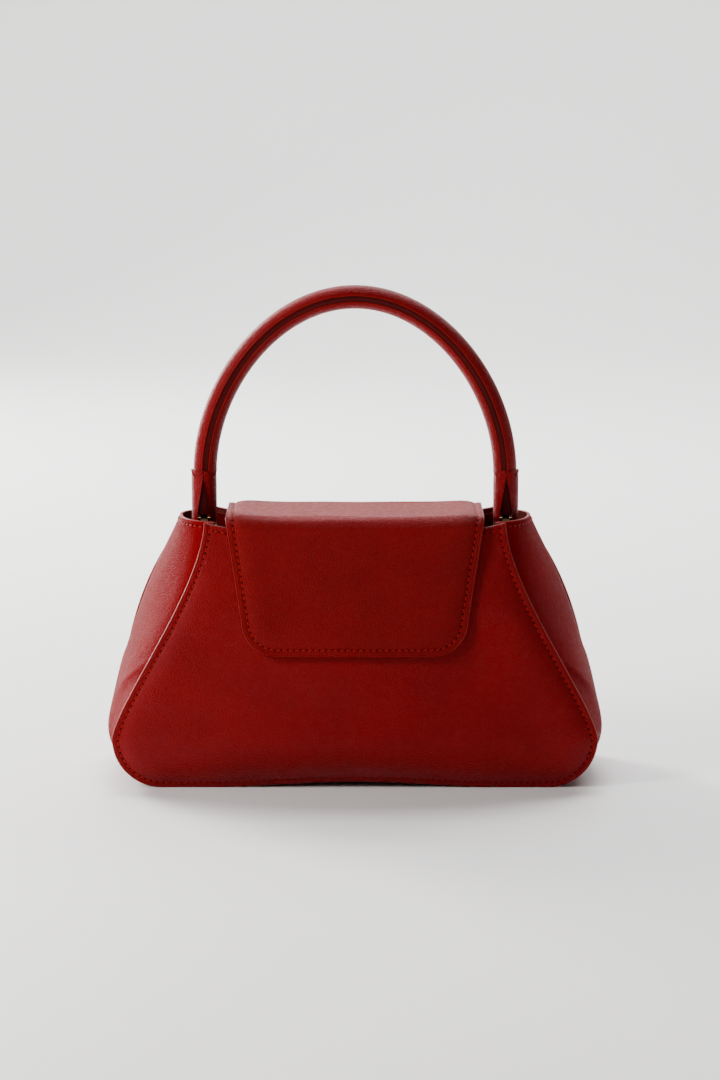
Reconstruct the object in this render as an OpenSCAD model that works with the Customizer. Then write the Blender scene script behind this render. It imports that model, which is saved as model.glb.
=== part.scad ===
// Trapeze bag: flared leather body, short flap and a rolled arch handle.
// The front faces -Y, the floor is z = 0 and the bag is centred on x = 0.

/* [Body outline] */
// Height of the rim where the panels meet the gussets
rim_h = 130; // [122:1:138]
// Half width of the front panel at the rim
front_top_w = 74; // [72:0.5:76]
// Half width of the front panel at its widest, low down
front_low_w = 119.5; // [117:0.5:121]
// How much wider the back panel is than the front on each side at the rim
back_top_more = 6.6; // [5:0.2:8]
// How much wider the back panel is than the front on each side low down
back_low_more = 0.5; // [0:0.1:1.5]
// How far the gussets stand out beyond the front panel at the rim
side_top_more = 13.5; // [12.5:0.5:15]
// How far the gussets stand out beyond the front panel low down
side_low_more = 4.9; // [3.5:0.2:7]
// Radius of the lower corners of the panels
corner_r = 25; // [22:1:28]
// Rise of the base between the corners it stands on
base_arch = 3; // [1:0.5:4]
// Half width of the arched stretch of the base
arch_w = 75; // [65:1:80]

/* [Body depth] */
// Half depth of the bag between the seams at the rim
rim_depth = 23; // [22:0.5:26]
// Half depth between the seams at the widest level
low_depth = 39; // [36:0.5:42]
// Half depth between the seams at the floor
floor_depth = 37; // [35:0.5:39]
// How far the panels belly out at the rim
rim_crown = 2.5; // [1:0.5:3.5]
// How far the panels belly out low down
low_crown = 6; // [4:0.5:8]
// How far the rim dips between its corners
rim_dip = 4; // [2:0.5:5]

/* [Leather] */
// Thickness of the panel leather
panel_t = 1.6; // [1.2:0.1:1.8]
// Thickness of the gusset leather
gusset_t = 1.3; // [1:0.1:1.5]
// Thickness of the stiffener boards
stiff_t = 0.7; // [0.5:0.1:0.9]
// Thickness of the board in the base
board_t = 2; // [1.6:0.1:2.2]
// Thickness of the lining
lining_t = 0.7; // [0.5:0.1:0.9]
// Thickness of the rim facings
facing_t = 1; // [0.8:0.1:1.2]
// Height of the rim facings
facing_h = 14; // [10:1:18]
// Width of the turned-out seam flanges
flange_w = 3.6; // [3:0.2:4.2]
// Gap between layers that lie on each other
layer_gap = 0.1; // [0.06:0.02:0.14]
// Gap between the curved leather and the layers inside it
curve_gap = 0.4; // [0.35:0.05:0.5]

/* [Flap] */
// Clearance between the sides of the flap and the ends of the handle
flap_side_gap = 5.4; // [5:0.2:8]
// How much the flap narrows on each side down to its lower corners
flap_taper = 8; // [5:0.5:10]
// Height of the lower edge of the flap
flap_low_z = 67; // [62:1:74]
// Radius of the lower corners of the flap
flap_corner_r = 17; // [13:1:20]
// Height of the top of the flap over the rim
flap_rise = 3.4; // [3:0.2:5]
// Thickness of the flap leather
flap_t = 1.4; // [1.2:0.1:1.6]
// Thickness of the flap lining
flap_lining_t = 0.9; // [0.7:0.1:1]
// Gap between the closed flap and the panel under it
flap_gap = 0.6; // [0.5:0.1:1]
// Depth of the lines the flap bends about under its top
fold_drop = 6.8; // [6.4:0.2:7.4]
// Height of the lower edge of the strip that holds the flap to the back
root_low_z = 108; // [100:1:114]
// Gap left between the parts of the flap at a fold
split_gap = 0.3; // [0.2:0.05:0.4]

/* [Snap] */
// Radius of the snap discs
snap_r = 6.5; // [5:0.5:8]
// Height of the snap
snap_z = 84; // [82:1:88]
// Thickness of the disc in the flap
snap_stud_t = 0.8; // [0.6:0.1:0.9]

/* [Handle] */
// Distance from the outside of a gusset at the rim to the middle of the handle leg
leg_in = 12.9; // [12.3:0.1:13.5]
// Length of the handle ends from the pivots up to where the arch starts
leg_h = 27; // [25:1:30]
// Height of the middle line of the handle at its top
handle_top_z = 239.4; // [225:1:250]
// Rise of the arch before it turns inward
arch_rise = 42; // [36:1:46]
// Length of the flat reach at the top of the arch
arch_reach = 41.5; // [36:0.5:46]
// Radius of the finished handle
handle_r = 5.85; // [5.4:0.05:6.2]
// Radius of the cord core of the handle
core_r = 3.2; // [2.8:0.1:3.6]
// Radius of the wrap that shows between the two covers
wrap_r = 4.9; // [4.6:0.1:5.1]
// Gap between the layers of the handle
handle_gap = 0.1; // [0.06:0.02:0.14]

/* [Handle ends] */
// Depth of the pivots of the handle under the rim
pivot_drop = 5; // [4:0.2:6]
// Radius of the pivot pins
pin_r = 2; // [1.8:0.1:2.2]
// Running clearance between a pin and its lug
pin_gap = 0.05; // [0.03:0.01:0.09]
// Clearance between a pin and the tabs that hold it
tab_pin_gap = 0.02; // [0.01:0.01:0.03]
// Radius of the round section that the tabs are cut from
tab_r = 6.3; // [6.2:0.1:6.4]
// Distance between the tabs at the pivot
tab_space = 6.2; // [6:0.1:6.4]
// Length of the wedge where the tabs part
wedge_h = 18; // [14:1:20]
// Radius of the pin heads
head_r = 3.2; // [2.8:0.1:3.4]
// Thickness of the pin heads
head_t = 1; // [0.8:0.1:1.2]
// Thickness of the brass lugs
lug_t = 3.4; // [3:0.1:3.6]
// Outer radius of the eye of a lug
lug_eye_r = 5.9; // [5.4:0.1:6]
// Width of the stem of a lug
lug_w = 9; // [8:0.5:10]
// Thickness of the foot of a lug
foot_t = 1.8; // [1.5:0.1:2]
// Length of the foot of a lug
foot_l = 18; // [15:1:20]
// Thickness of the leather patch behind the foot
patch_t = 2.4; // [2:0.2:3]
// Radius of the rivets of a lug
rivet_r = 1.5; // [1.2:0.1:1.7]

/* [Pocket] */
// Half width of the slip pocket
pocket_w = 55; // [45:1:60]
// Height of the lower edge of the pocket
pocket_low_z = 45; // [40:1:55]
// Height of the upper edge of the pocket
pocket_top_z = 100; // [90:1:104]

/* [Hidden] */

// Sizes that follow from the ones above
back_top_w = front_top_w + back_top_more;
back_low_w = front_low_w + back_low_more;
side_top_w = front_top_w + side_top_more;
side_low_w = front_low_w + side_low_more;
leg_x = side_top_w - leg_in;
tab_out = tab_r - handle_r + handle_gap;
tab_x = leg_x + tab_out;
flap_top_w = tab_x - tab_r - flap_side_gap;
flap_low_w = flap_top_w - flap_taper;
flap_top_z = rim_h + flap_rise;
fold_z = flap_top_z - fold_drop;
pivot_z = rim_h - pivot_drop;
arch_z0 = pivot_z + leg_h;
back_rise = rim_dip * 0.475;

// Shares that bend each side curve next to its upper and its lower end
height_bend = [0.305, 0.181];
front_bend = [0.022, 0.066];
back_bend = [0.645, 0.025];
side_bend = [0.298, -0.016];
depth_bend = [0.375, 0.188];
crown_bend = [0.43, -0.286];
function curve4(a, b, share) = [a, a + (b - a) * share[0], b - (b - a) * share[1], b];
curve_z = curve4(rim_h, corner_r, height_bend);
front_x = curve4(front_top_w, front_low_w, front_bend);
back_x = curve4(back_top_w, back_low_w, back_bend);
side_x = curve4(side_top_w, side_low_w, side_bend);
depth_y = curve4(rim_depth, low_depth, depth_bend);
crown_y = curve4(rim_crown, low_crown, crown_bend);

// Height over which the arch of the base and the dip of the rim fade out
fade_h = corner_r * 1.6;
dip_power = 6;

panel_rows = 16;
panel_cols = 22;
inner_rows = 9;
inner_cols = 14;
small = 0.01;

// Depths of the layers behind the outer face of a panel
stiff_y = panel_t + curve_gap;
lining_y = stiff_y + stiff_t + curve_gap;
facing_y = lining_y;

// Insets and ends of the layers inside the panels
seam_in = flange_w + gusset_t;
facing_in = seam_in + facing_t * 1.5;
stiff_in = seam_in + panel_t * 1.6;
lining_in = seam_in + panel_t * 1.9;
facing_top = rim_h - facing_t / 2;
stiff_top = rim_h - 2 * facing_t;
lining_top = rim_h - facing_h - facing_t;
stiff_low = corner_r * 0.4;
lining_low = corner_r * 0.48;

function bez(t, p) = pow(1 - t, 3) * p[0] + 3 * t * pow(1 - t, 2) * p[1]
    + 3 * t * t * (1 - t) * p[2] + pow(t, 3) * p[3];

// Curve parameter at height z, found by halving the interval
function curve_t(z, lo = 0, hi = 1, n = 22) = n == 0 ? (lo + hi) / 2
    : bez((lo + hi) / 2, curve_z) > z ? curve_t(z, (lo + hi) / 2, hi, n - 1)
    : curve_t(z, lo, (lo + hi) / 2, n - 1);
function by_height(z, p) = z >= rim_h ? p[0] : z <= corner_r ? p[3] : bez(curve_t(z), p);

// Half depth of the seams and belly of the panels at height z
function low_share(z) = max(0, (corner_r - z) / corner_r);
function seam_y(z) = by_height(z, depth_y) - (low_depth - floor_depth) * pow(low_share(z), 2);
function crown_at(z) = by_height(z, crown_y) * (1 - pow(low_share(z), 2));
function belly_y(x, z) = let (w = by_height(z, front_x))
    seam_y(z) + crown_at(z) * max(0, 1 - pow(x / w, 2));
// Half width of a panel outline, round corner included
function outline_w(z, p) = by_height(z, p)
    - (z < corner_r ? corner_r - sqrt(max(0, pow(corner_r, 2) - pow(corner_r - z, 2))) : 0);
function arch_at(x) = abs(x) < arch_w ? base_arch * pow(1 - pow(x / arch_w, 2), 2) : 0;
// Rows near the floor follow the arch and rows near the rim follow the dip
function sag(x, z) = arch_at(x) * max(0, 1 - z / fade_h) - rim_dip
    * (1 - pow(min(1, abs(x) / front_top_w), dip_power)) * max(0, (z - rim_h + fade_h) / fade_h);

function flat(lists) = [for (l = lists) each l];

// Closed skin between two grids of the same size, both given row by row
module shell(a, b) {
    rows = len(a);
    cols = len(a[0]);
    n = rows * cols;
    function id(r, c) = r * cols + c;
    function quad(p, q, r, s) = [[p, q, r], [p, r, s]];
    faces = flat([
        for (r = [0 : rows - 2]) for (c = [0 : cols - 2])
            quad(id(r, c), id(r, c + 1), id(r + 1, c + 1), id(r + 1, c)),
        for (r = [0 : rows - 2]) for (c = [0 : cols - 2])
            quad(n + id(r, c), n + id(r + 1, c), n + id(r + 1, c + 1), n + id(r, c + 1)),
        for (c = [0 : cols - 2]) quad(id(0, c + 1), id(0, c), n + id(0, c), n + id(0, c + 1)),
        for (c = [0 : cols - 2]) quad(id(rows - 1, c), id(rows - 1, c + 1),
            n + id(rows - 1, c + 1), n + id(rows - 1, c)),
        for (r = [0 : rows - 2]) quad(id(r, 0), id(r + 1, 0), n + id(r + 1, 0), n + id(r, 0)),
        for (r = [0 : rows - 2]) quad(id(r + 1, cols - 1), id(r, cols - 1),
            n + id(r, cols - 1), n + id(r + 1, cols - 1))
    ]);
    polyhedron(flat([flat(a), flat(b)]), faces, convexity = 6);
}

// Heights of the rows of a panel between two levels, closer together round the corner
function levels(top, low, n) = let (split = max(low, corner_r))
    [for (i = [0 : n]) top + (split - top) * i / n,
     if (low < corner_r) each [for (a = [18 : 18 : 90]) let (z = corner_r * (1 - sin(a)))
        if (z > low + stiff_t || a == 90) max(low, z)]];

// One layer of a panel: outline p, facing fy (-1 front, 1 back), set in by inset,
// between depths d0 and d1 behind the outer face
module layer(p, fy, top, low, inset, d0, d1, rows = panel_rows, cols = panel_cols) {
    zs = levels(top, low, rows);
    function row(z, d) = let (w = outline_w(z, p) - inset)
        [for (j = [0 : cols]) let (x = -fy * w * (1 - 2 * j / cols))
            [x, fy * (belly_y(x, z) - d), z + sag(x, z)]];
    shell([for (z = zs) row(z, d0)], [for (z = zs) row(z, d1)]);
}

// How far the base lies above the lower edges of the panels
base_reach = flange_w * 0.72;
// Sections of the band between the panels
// A station holds the front edge, back edge, widest reach and the way out in x and z
function side_station(z) = [
    [outline_w(z, front_x), z], [outline_w(z, back_x), z],
    [by_height(z, side_x), z], [1, 0], seam_y(z)];
function corner_station(a) = let (z = corner_r * (1 - sin(a)), fx = front_low_w - corner_r,
        bx = back_low_w - corner_r, reach = side_low_w - fx)
    [[fx + corner_r * cos(a), z], [bx + corner_r * cos(a), z],
     [fx + reach * cos(a), corner_r - (corner_r - base_reach) * sin(a)],
     [cos(a), -sin(a)], seam_y(z)];
function base_station(x) = [[x, arch_at(x)], [x, arch_at(x)],
    [x, arch_at(x) + base_reach], [0, -1], floor_depth];
function dot2(a, b) = a[0] * b[0] + a[1] * b[1];

// Roll of the band, s from 0 at the front flange to 1 at the back flange
roll_s = [0, 0.02, 0.06, 0.13, 0.23, 0.36, 0.5, 0.64, 0.77, 0.87, 0.94, 0.98, 1];
// The widest place is at share widest_s, and two powers set how square the roll is
widest_s = 0.6;
roll_power = 2.8;
edge_power = 0.6;
roll_in = gusset_t * 0.46;
function roll_rise(s) = pow(1 - pow(abs(2 * s - 1), roll_power), edge_power);
function roll_y0(st) = st[4] - panel_t - layer_gap - gusset_t - roll_in;
function roll_out(st, s) = let (chord = dot2(st[1] - st[0], st[3]),
        h = (dot2(st[2] - st[0], st[3]) + flange_w - widest_s * chord) / roll_rise(widest_s))
    -flange_w + h * roll_rise(s);
// Point of the band: st station, s along the roll, d depth below the outer face
function roll_pt(st, s, d) = let (
        y0 = roll_y0(st), e = 0.002, s0 = max(0, s - e), s1 = min(1, s + e),
        chord = dot2(st[1] - st[0], st[3]),
        da = roll_out(st, s1) - roll_out(st, s0) + chord * (s1 - s0),
        dy = 2 * y0 * (s1 - s0), l = sqrt(da * da + dy * dy),
        a = roll_out(st, s) - d * dy / l, y = -y0 + 2 * y0 * s + d * da / l,
        p = st[0] + (st[1] - st[0]) * s + st[3] * a)
    [p[0], y, p[1]];
function flange_pt(e, st, a, y) = [e[0] + st[3][0] * a, y, e[1] + st[3][1] * a];
fold_r = gusset_t * 0.6;
function band_outer(st) = let (y0 = st[4] - panel_t - layer_gap - gusset_t) [
    flange_pt(st[0], st, 0, -y0), flange_pt(st[0], st, -flange_w + fold_r, -y0),
    flange_pt(st[0], st, -flange_w, -y0 + roll_in / 2),
    for (s = roll_s) roll_pt(st, s, 0),
    flange_pt(st[1], st, -flange_w, y0 - roll_in / 2),
    flange_pt(st[1], st, -flange_w + fold_r, y0), flange_pt(st[1], st, 0, y0)];
function band_inner(st) = let (y0 = st[4] - panel_t - layer_gap, f = -flange_w - gusset_t) [
    flange_pt(st[0], st, 0, -y0), flange_pt(st[0], st, f + fold_r, -y0),
    flange_pt(st[0], st, f, -y0 + fold_r), flange_pt(st[0], st, f, -roll_y0(st) + fold_r),
    for (s = [for (i = [1 : len(roll_s) - 2]) roll_s[i]]) roll_pt(st, s, gusset_t),
    flange_pt(st[1], st, f, roll_y0(st) - fold_r), flange_pt(st[1], st, f, y0 - fold_r),
    flange_pt(st[1], st, f + fold_r, y0),
    flange_pt(st[1], st, 0, y0)];
function band_layer(st, s0, s1, n, d) =
    [for (i = [0 : n]) roll_pt(st, s0 + (s1 - s0) * i / n, d)];
side_stations = concat([for (z = levels(rim_h, corner_r, 12)) side_station(z)],
    [for (a = [18 : 18 : 90]) corner_station(a)]);
base_w = front_low_w - corner_r - layer_gap;
base_stations = [for (i = [0 : 12]) base_station(base_w * (1 - i / 6))];

module left_right(side) {
    if (side > 0) children();
    else mirror([1, 0, 0]) children();
}

module front_panel() {
    color([0.55, 0.04, 0.05]) difference() {
        layer(front_x, -1, rim_h, 0, 0, 0, panel_t);
        snap_place() cylinder(r = snap_r + layer_gap, h = 8, center = true, $fn = 48);
    }
}
module back_panel() {
    color([0.5, 0.03, 0.04]) layer(back_x, 1, rim_h + back_rise, 0, 0, 0, panel_t);
}
module gusset(side) {
    color([0.6, 0.05, 0.06]) left_right(side)
        shell([for (st = side_stations) band_outer(st)], [for (st = side_stations) band_inner(st)]);
}
module base_panel() {
    color([0.42, 0.03, 0.04])
        shell([for (st = base_stations) band_outer(st)], [for (st = base_stations) band_inner(st)]);
}
module stiffener(p, fy) {
    color([0.75, 0.68, 0.55]) difference() {
        layer(p, fy, stiff_top, stiff_low, stiff_in, stiff_y, stiff_y + stiff_t,
            inner_rows, inner_cols);
        if (fy < 0)
            snap_place() cylinder(r = washer_r + curve_gap, h = 2 * snap_r, center = true, $fn = 48);
    }
}
module panel_lining(p, fy) {
    color([0.45, 0.12, 0.1])
        layer(p, fy, lining_top, lining_low, lining_in, lining_y, lining_y + lining_t,
            inner_rows, inner_cols);
}
module facing(p, fy) {
    color([0.5, 0.04, 0.05])
        layer(p, fy, facing_top, rim_h - facing_h, facing_in,
            facing_y, facing_y + facing_t, 3, 16);
}
module gusset_lining(side) {
    stations = concat([for (z = levels(rim_h - facing_h * 0.57, corner_r, 9)) side_station(z)],
        [for (a = [22.5 : 22.5 : 67.5]) corner_station(a)]);
    d = gusset_t + curve_gap;
    color([0.45, 0.12, 0.1]) left_right(side)
        shell([for (st = stations) band_layer(st, 0.1, 0.9, 8, d)],
            [for (st = stations) band_layer(st, 0.1, 0.9, 8, d + lining_t)]);
}
// Flat layer over the base, between heights h0 and h1 above the base panel
module base_layer(inset, h0, h1) {
    z0 = flange_w + gusset_t + 2 * layer_gap;
    w = base_w - inset;
    dy = roll_y0(base_station(0)) - gusset_t - inset;
    function row(x, h) = [for (j = [0 : 4]) [x, -dy + 2 * dy * j / 4, arch_at(x) + z0 + h]];
    xs = [for (i = [0 : 14]) w * (1 - i / 7)];
    shell([for (x = xs) row(x, h0)], [for (x = xs) row(x, h1)]);
}
module base_board() {
    color([0.75, 0.68, 0.55]) base_layer(gusset_t * 1.8, 0, board_t);
}
module base_lining() {
    color([0.45, 0.12, 0.1]) base_layer(gusset_t * 3, board_t + layer_gap, board_t + layer_gap + lining_t);
}
module slip_pocket() {
    y0 = lining_y + lining_t + curve_gap;
    zs = levels(pocket_top_z, pocket_low_z, 5);
    function row(z, d) = [for (j = [0 : 10]) let (x = -pocket_w * (1 - j / 5))
        [x, belly_y(x, z) - d, z]];
    color([0.48, 0.13, 0.11])
        shell([for (z = zs) row(z, y0)], [for (z = zs) row(z, y0 + lining_t)]);
}

// Flap: its inner and outer skins follow the panels and roll over the mouth
flap_all_t = flap_t + layer_gap + flap_lining_t;
front_axis_y = -belly_y(0, fold_z) - flap_gap - flap_all_t;
back_axis_y = -front_axis_y;
function flap_w(z) = z > flap_low_z + flap_corner_r
    ? flap_low_w + (flap_top_w - flap_low_w) * (z - flap_low_z - flap_corner_r)
        / (flap_top_z - flap_low_z - flap_corner_r)
    : flap_low_w - flap_corner_r
        + sqrt(max(0, pow(flap_corner_r, 2) - pow(flap_low_z + flap_corner_r - z, 2)));
flap_zs = [for (i = [0 : 7]) fold_z - split_gap / 2
        + (flap_low_z + flap_corner_r - fold_z) * i / 7,
    for (a = [18 : 18 : 90]) flap_low_z + flap_corner_r * (1 - sin(a))];
// Hanging skin, d is the depth below the outer face of the flap
function hang_y(x, z, d) = belly_y(x, z) + flap_gap + flap_all_t - d;
module hanging(zs, fy, inset, d0, d1, cols = 16) {
    function row(z, d) = let (w = flap_w(z) - inset)
        [for (j = [0 : cols]) let (x = -fy * w * (1 - 2 * j / cols))
            [x, fy * hang_y(x, z, d), z]];
    shell([for (z = zs) row(z, d0)], [for (z = zs) row(z, d1)]);
}
// Bridge skin over the mouth: two quarter folds joined by a flat
function bridge_row(x, d) = let (y0 = hang_y(x, fold_z, 0), r = flap_top_z - fold_z,
        c = y0 - r) [
    for (a = [0 : 15 : 90]) [x, c + (r - d) * cos(a), fold_z + (r - d) * sin(a)],
    for (a = [90 : 15 : 180]) [x, -c + (r - d) * cos(a), fold_z + (r - d) * sin(a)]];
module bridging(inset, d0, d1, cols = 10) {
    w = flap_w(flap_top_z) - inset;
    xs = [for (j = [0 : cols]) w * (1 - 2 * j / cols)];
    translate([0, 0, split_gap / 2])
        shell([for (x = xs) bridge_row(x, d0)], [for (x = xs) bridge_row(x, d1)]);
}
module flap_root() {
    zs = [for (i = [0 : 3]) fold_z - split_gap / 2 + (root_low_z - fold_z) * i / 3];
    color([0.5, 0.03, 0.04]) hanging(zs, 1, 0, 0, flap_all_t + flap_gap - layer_gap);
}
module flap_bridge() {
    color([0.6, 0.06, 0.07]) bridging(0, 0, flap_t);
}
module flap_bridge_lining() {
    color([0.45, 0.12, 0.1]) bridging(flap_lining_t, flap_t + layer_gap, flap_all_t);
}
module flap_front() {
    color([0.52, 0.03, 0.05]) hanging(flap_zs, -1, 0, 0, flap_t);
}
module flap_front_lining() {
    color([0.45, 0.12, 0.1]) difference() {
        hanging(flap_zs, -1, flap_lining_t, flap_t + layer_gap, flap_all_t);
        snap_place() cylinder(r = snap_r + layer_gap, h = 2 * snap_r, center = true, $fn = 48);
    }
}

// Snap: z of this place runs out of the front panel
snap_tilt = atan((belly_y(0, snap_z - snap_r) - belly_y(0, snap_z + snap_r)) / (2 * snap_r));
washer_r = snap_r * 1.23;
socket_deep = panel_t * 0.38;
module snap_place() {
    translate([0, -belly_y(0, snap_z), snap_z]) rotate([90 - snap_tilt, 0, 0]) children();
}
module snap_socket() {
    color([0.8, 0.62, 0.3]) snap_place() difference() {
        translate([0, 0, -panel_t]) cylinder(r = snap_r, h = panel_t, $fn = 48);
        translate([0, 0, -socket_deep]) cylinder(r = snap_r * 0.54, h = panel_t, $fn = 48);
    }
}
module snap_washer() {
    color([0.75, 0.58, 0.28]) snap_place()
        translate([0, 0, -panel_t - layer_gap - stiff_t])
            cylinder(r = washer_r, h = stiff_t, $fn = 48);
}
module snap_stud() {
    color([0.8, 0.62, 0.3]) snap_place()
        translate([0, 0, flap_gap]) cylinder(r = snap_r, h = snap_stud_t, $fn = 48);
}

// Handle: sections swept along the arch, from the left leg to the right leg
half_rings = 15;
function arch_pt(t) = [bez(t, [leg_x, leg_x, arch_reach, 0]),
    bez(t, [arch_z0, arch_z0 + arch_rise, handle_top_z, handle_top_z])];
function arch_dir(t) = let (d = arch_pt(min(1, t + 0.001)) - arch_pt(max(0, t - 0.001)))
    d / norm(d);
// A ring is the point of the middle line and the outward way in x and z
function arch_ring(t) = let (d = arch_dir(t)) [arch_pt(t), [d[1], -d[0]]];
right_rings = [for (i = [0 : half_rings]) arch_ring(i / half_rings)];
arch_rings = concat([for (r = right_rings) [[-r[0][0], r[0][1]], [-r[1][0], r[1][1]]]],
    [for (i = [half_rings - 1 : -1 : 0]) right_rings[i]]);
module sweep(section) {
    n = len(section);
    m = len(arch_rings);
    pts = [for (r = arch_rings) for (q = section)
        [r[0][0] + r[1][0] * q[0], q[1], r[0][1] + r[1][1] * q[0]]];
    faces = concat(
        [[for (i = [n - 1 : -1 : 0]) i], [for (i = [0 : n - 1]) (m - 1) * n + i]],
        flat([for (r = [0 : m - 2]) for (i = [0 : n - 1]) let (j = (i + 1) % n)
            [[r * n + i, r * n + j, (r + 1) * n + j], [r * n + i, (r + 1) * n + j, (r + 1) * n + i]]]));
    polyhedron(pts, faces, convexity = 8);
}
function disc(r, n) = [for (i = [0 : n - 1]) [r * cos(360 * i / n), r * sin(360 * i / n)]];
// Part of a ring between two radii and two angles
function ring_part(r0, r1, a0, a1, n) = concat(
    [for (i = [0 : n]) let (a = a0 + (a1 - a0) * i / n) [r1 * cos(a), r1 * sin(a)]],
    [for (i = [n : -1 : 0]) let (a = a0 + (a1 - a0) * i / n) [r0 * cos(a), r0 * sin(a)]]);
// Places of the two lines across the front of the handle, from its outer side
line_shares = [0.38, 0.7];
// Angles of the two lines that run along the handle, from the outward way
outer_line_a = acos(1 - 2 * line_shares[0]);
inner_line_a = acos(1 - 2 * line_shares[1]);
module handle_core() {
    color([0.85, 0.8, 0.7]) sweep(disc(core_r, 10));
}
module handle_wrap() {
    color([0.4, 0.02, 0.03])
        sweep(concat(ring_part(core_r + handle_gap, wrap_r, 2, 358, 14)));
}
module handle_outer_cover() {
    color([0.58, 0.05, 0.06])
        sweep(ring_part(wrap_r + handle_gap, handle_r, -outer_line_a, outer_line_a, 8));
}
module handle_inner_cover() {
    color([0.55, 0.04, 0.05])
        sweep(ring_part(wrap_r + handle_gap, handle_r, inner_line_a, 360 - inner_line_a, 7));
}

// Tabs: halves of a round section that part in a wedge towards the pivot
tab_top = arch_z0 - 2 * layer_gap;
wedge_z = tab_top - head_t;
// Heights and widths of the blocks that the tabs are cut from
cut_w = 2 * tab_r;
cut_low = pivot_z - cut_w;
cut_h = tab_top - cut_low + cut_w;
split = layer_gap / 2;
// Distance from the middle of the tabs to the underside of a pin head
head_x = tab_r - head_t * 1.2;
// Side view of a tab, hand is 1 for the outer one and -1 for the inner one
module tab(side, hand) {
    color([0.6, 0.05, 0.06]) left_right(side) difference() {
        intersection() {
            translate([tab_x, 0, 0]) rotate([90, 0, 0]) linear_extrude(2 * cut_w, center = true)
                polygon([[split * hand, tab_top], [cut_w * hand, tab_top], [cut_w * hand, cut_low],
                    [hand * tab_space / 2, cut_low], [hand * tab_space / 2, wedge_z - wedge_h],
                    [split * hand, wedge_z]]);
            translate([tab_x, 0, cut_low]) cylinder(r = tab_r, h = cut_h, $fn = 64);
            union() {
                translate([tab_x, 0, pivot_z]) rotate([0, 90, 0])
                    cylinder(r = tab_r, h = 2 * cut_w, center = true, $fn = 64);
                translate([tab_x - cut_w, -tab_r, pivot_z]) cube([2 * cut_w, cut_w, cut_h]);
            }
        }
        translate([tab_x, 0, pivot_z]) rotate([0, 90, 0])
            cylinder(r = pin_r + tab_pin_gap, h = 2 * cut_w, center = true, $fn = 48);
        translate([tab_x + (hand > 0 ? head_x : -head_x - cut_w), 0, pivot_z]) rotate([0, 90, 0])
            cylinder(r = head_r + layer_gap, h = cut_w, $fn = 48);
    }
}
module pin(side) {
    color([0.82, 0.64, 0.32]) left_right(side) translate([tab_x, 0, pivot_z]) rotate([0, 90, 0]) {
        translate([0, 0, -head_x]) cylinder(r = pin_r, h = 2 * head_x + head_t / 2, $fn = 48);
        translate([0, 0, head_x + small]) cylinder(r = head_r, h = head_t, $fn = 48);
    }
}
module pin_caps() {
    color([0.82, 0.64, 0.32]) for (side = [-1, 1]) left_right(side)
        translate([tab_x - head_x - head_t - small, 0, pivot_z]) rotate([0, 90, 0])
            cylinder(r = head_r, h = head_t, $fn = 48);
}
washer_t = (tab_space - lug_t) / 2 - 2 * layer_gap;
module pivot_washers() {
    color([0.82, 0.64, 0.32]) for (side = [-1, 1]) for (hand = [-1, 1]) left_right(side)
        translate([tab_x + hand * (lug_t / 2 + layer_gap + washer_t / 2), 0, pivot_z])
            rotate([0, 90, 0]) difference() {
                cylinder(r = head_r * 1.3, h = washer_t, center = true, $fn = 48);
                cylinder(r = pin_r + tab_pin_gap, h = lug_t, center = true, $fn = 48);
            }
}

// Lug: an eye on a stem that cranks outward to a foot along the gusset
foot_top_z = pivot_z - lug_eye_r * 2.2;
// Middle of the inside of the gusset lining at height z, and its lean
function wall_x(z) = roll_pt(side_station(z), 0.5, gusset_t + curve_gap + lining_t)[0];
patch_x0 = wall_x(foot_top_z);
wall_slope = (wall_x(foot_top_z - foot_l) - patch_x0) / foot_l;
// The patch fills the space between the curved wall and the flat foot
foot_sag = foot_l * 0.156;
patch_in = patch_t + curve_gap + foot_sag;
foot_x0 = patch_x0 - patch_in;
function foot_x(z) = foot_x0 + wall_slope * (foot_top_z - z);
module lug(side) {
    x0 = tab_x - lug_t / 2;
    x1 = tab_x + lug_t / 2;
    foot_low_z = foot_top_z - foot_l;
    arm_z = pivot_z - tab_r - lug_t * 0.4;
    bend_z = foot_top_z - foot_t / 2;
    color([0.82, 0.64, 0.32]) left_right(side) difference() {
        union() {
            translate([x0, 0, pivot_z]) rotate([0, 90, 0]) cylinder(r = lug_eye_r, h = lug_t, $fn = 64);
            rotate([90, 0, 0]) linear_extrude(lug_w, center = true)
                polygon([[x0, pivot_z], [x1, pivot_z], [x1, arm_z], [foot_x0, foot_top_z],
                    [foot_x(foot_low_z), foot_low_z], [foot_x(foot_low_z) - foot_t, foot_low_z],
                    [foot_x(bend_z) - foot_t, bend_z], [x0, arm_z - lug_t * 0.9]]);
        }
        translate([tab_x, 0, pivot_z]) rotate([0, 90, 0])
            cylinder(r = pin_r + pin_gap, h = 2 * cut_w, center = true, $fn = 48);
        rivet_places() cylinder(r = rivet_r + rivet_gap, h = foot_l, center = true, $fn = 32);
    }
}
rivet_gap = layer_gap / 2;
rivet_shares = [0.28, 0.72];
module rivet_places() {
    for (share = rivet_shares)
        translate([foot_x(foot_top_z - share * foot_l), 0, foot_top_z - share * foot_l])
            rotate([0, 90 - atan(wall_slope), 0]) children();
}
module patch(side) {
    zs = [for (i = [0 : 4]) foot_top_z - foot_t * 0.28 - (foot_l + foot_t / 2) * i / 4];
    d = gusset_t + lining_t + 2 * curve_gap;
    outer = [for (z = zs) band_layer(side_station(z), 0.34, 0.66, 6, d)];
    inner = [for (row = outer) [for (q = row) [foot_x(q[2]) + layer_gap, q[1], q[2]]]];
    color([0.5, 0.04, 0.05]) left_right(side) difference() {
        shell(outer, inner);
        rivet_places() cylinder(r = rivet_r + rivet_gap, h = foot_l, center = true, $fn = 32);
    }
}
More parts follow.
